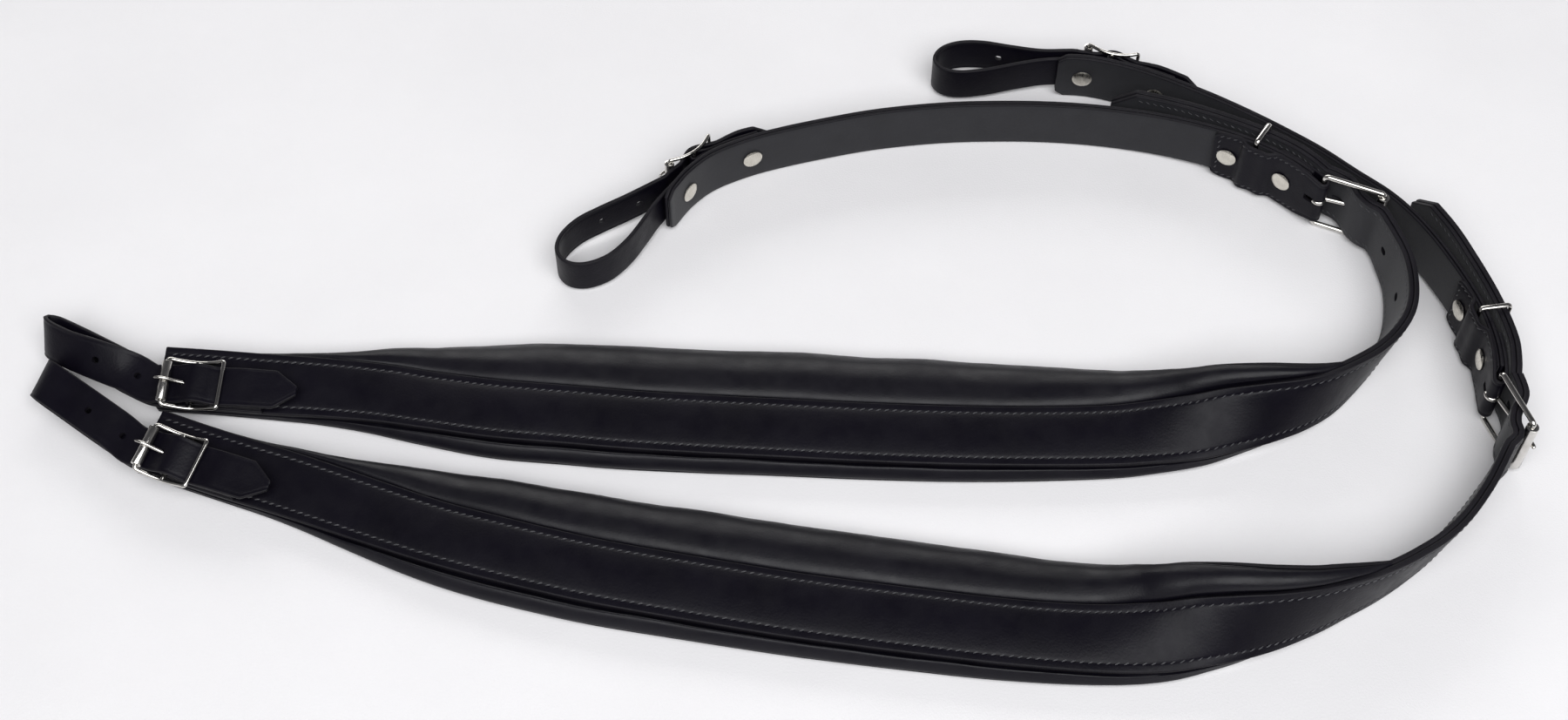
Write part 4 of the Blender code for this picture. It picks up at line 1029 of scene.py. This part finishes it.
def build_lower_end(prefix, route, lean, far_end):
    body = "strap_" + prefix
    base = table(BAND_BASE, 0.0) + MAIN_T
    frame = end_frame(route, LOW_BUCKLE_AT, LOW_BUCKLE_SIDE, base, False)
    small_buckle(prefix + "_low", frame, body)
    tab(prefix + "_low_tab", frame, 38.0, body)
    points, widths = lower_loop(frame, lean, Vector(far_end))
    fixed = (38.0, 30.0, 20.0, 10.0, 0.0, -8.0, -15.0, -22.0)
    loop_billet(prefix + "_low_loop", frame, fixed, points, widths, 56.0,
                lambda r: (r.length - 56.0 - 60.0, r.length - 56.0 - 34.0), body)
    for number, u in ((1, -13.0), (2, 31.0)):
        high = -S_BASE + 0.35 + SMALL_T + 0.1 if number == 1 else 0.1
        rivet("%s_low_rivet_%d" % (prefix, number), body, frame.follow(u, 0.0), route.at(LOW_BUCKLE_AT + u)[3],
              -S_BASE - base + 0.2, high)


def build_strap(prefix, lower, upper, pad_length, fullness, heel, roller_at, loop, foot,
                top_tip, low_lean, low_end):
    upper_route = Route([p[:3] for p in upper], banks=[90.0] * len(upper))
    heel_point = Vector(heel)
    towards = (Vector(roller_at) - heel_point).normalized()
    outwards = UP.cross(towards)
    outwards = outwards if outwards.dot(upper_route.at(5.0)[3]) > 0 else outwards * -1.0
    frame = Frame(heel_point, towards * -1.0, UP, outwards)
    rows = list(lower)
    for u, n in CROSSING:
        spot = frame.at(u, 0.0, n)
        rows.append((spot.x, spot.y, spot.z - 0.3, 90.0))
    for s in TAIL_STARTS:
        spot = upper_route.point(s, 0.0, table(TAIL_OFFSETS, s))
        rows.append((spot.x, spot.y, max(spot.z + 0.7, 18.0), 90.0))
    route = Route([r[:3] for r in rows], banks=[r[3] for r in rows])
    pad = Pad(pad_length, fullness)
    build_pad(prefix, route, pad)
    layers = build_main(prefix, route, pad)
    build_upper(prefix, upper_route)
    large_buckle(prefix, frame)
    build_chape(prefix, upper_route, frame)
    build_keeper(prefix, upper_route)
    for number, s in enumerate(CHAPE_RIVETS, 1):
        centre, _, _, normal = upper_route.at(s)
        high = 4.5 if number == 2 else 0.1 + UPPER_T
        rivet("%s_chape_rivet_%d" % (prefix, number), "strap_" + prefix, centre, normal, -4.55, high)
    for layer in layers:
        punch(layer, frame.at(-17.5, 0.0, 3.7), frame.u, 1.8, 11.0, frame.n, 0.9)
        for back in (4, 2):
            centre, tangent, _, normal = route.at(route.nearest(rows[len(lower) - back][:3]))
            punch(layer, centre, normal, 1.9, 5.0, tangent, 0.8)
    build_upper_end(prefix, upper_route, loop, top_tip, foot)
    build_lower_end(prefix, route, low_lean, low_end)


build_strap("a", LOWER_A, UPPER_A, 642.0, 1.0, (305, 98, 21.6), (336.1, 84.4, 21.6),
            UPPER_LOOP_A, (-46, 120.5), 48.0, 40.0, (-403, 5, 16.5))
build_strap("b", LOWER_B, UPPER_B, 660.0, 0.88, (377, -39, 21.6), (386.7, -71.6, 21.6),
            UPPER_LOOP_B, (194, 197), 56.0, 3.0, (-401, -22, 12.5))


# --- floor, light, camera ----------------------------------------------------
def build_floor():
    mesh = bpy.data.meshes.new("floor")
    reach = 4.0
    mesh.from_pydata([(-reach, -reach, 0.0), (reach, -reach, 0.0), (reach, reach, 0.0), (-reach, reach, 0.0)],
                     [], [(0, 1, 2, 3)])
    mesh.materials.append(floor_material())
    floor = bpy.data.objects.new("floor", mesh)
    bpy.context.scene.collection.objects.link(floor)


def area_light(name, place, aim, width, height, power, colour):
    data = bpy.data.lights.new(name, "AREA")
    data.shape = "RECTANGLE"
    data.size, data.size_y = width, height
    data.energy = power
    data.color = colour
    light = bpy.data.objects.new(name, data)
    light.location = Vector(place)
    light.rotation_euler = (Vector(aim) - Vector(place)).to_track_quat("-Z", "Y").to_euler()
    bpy.context.scene.collection.objects.link(light)


def build_light():
    area_light("window", (-0.4, 3.2, 1.75), (0.0, 0.05, 0.0), 3.4, 1.2, 46.0, (1.0, 0.995, 0.985))
    area_light("room", (0.3, -2.0, 3.0), (0.0, 0.0, 0.0), 4.6, 2.9, 184.0, (0.985, 0.99, 1.0))
    world = bpy.data.worlds.new("studio")
    world.use_nodes = True
    tree = world.node_tree
    back = tree.nodes["Background"]
    coords = tree.nodes.new("ShaderNodeTexCoord").outputs["Generated"]
    split = tree.nodes.new("ShaderNodeSeparateXYZ")
    tree.links.new(coords, split.inputs["Vector"])
    tree.links.new(ramp(tree, split.outputs["Z"], [(0.0, (0.34, 0.33, 0.34)), (0.35, (0.26, 0.26, 0.27)),
                                                  (0.8, (0.10, 0.10, 0.11))]), back.inputs["Color"])
    back.inputs["Strength"].default_value = 0.62
    bpy.context.scene.world = world


def build_camera():
    data = bpy.data.cameras.new("camera")
    data.sensor_width, data.lens = 36.0, 48.2
    data.clip_start, data.clip_end = 0.05, 20.0
    camera = bpy.data.objects.new("camera", data)
    camera.location = (Vector((0.0, -685.36, 933.0)) - OFFSET) * MM
    camera.rotation_euler = (math.radians(90.0 - 53.7), 0.0, 0.0)
    bpy.context.scene.collection.objects.link(camera)
    bpy.context.scene.camera = camera


build_floor()
build_light()
build_camera()
bpy.context.scene.view_settings.view_transform = "Standard"
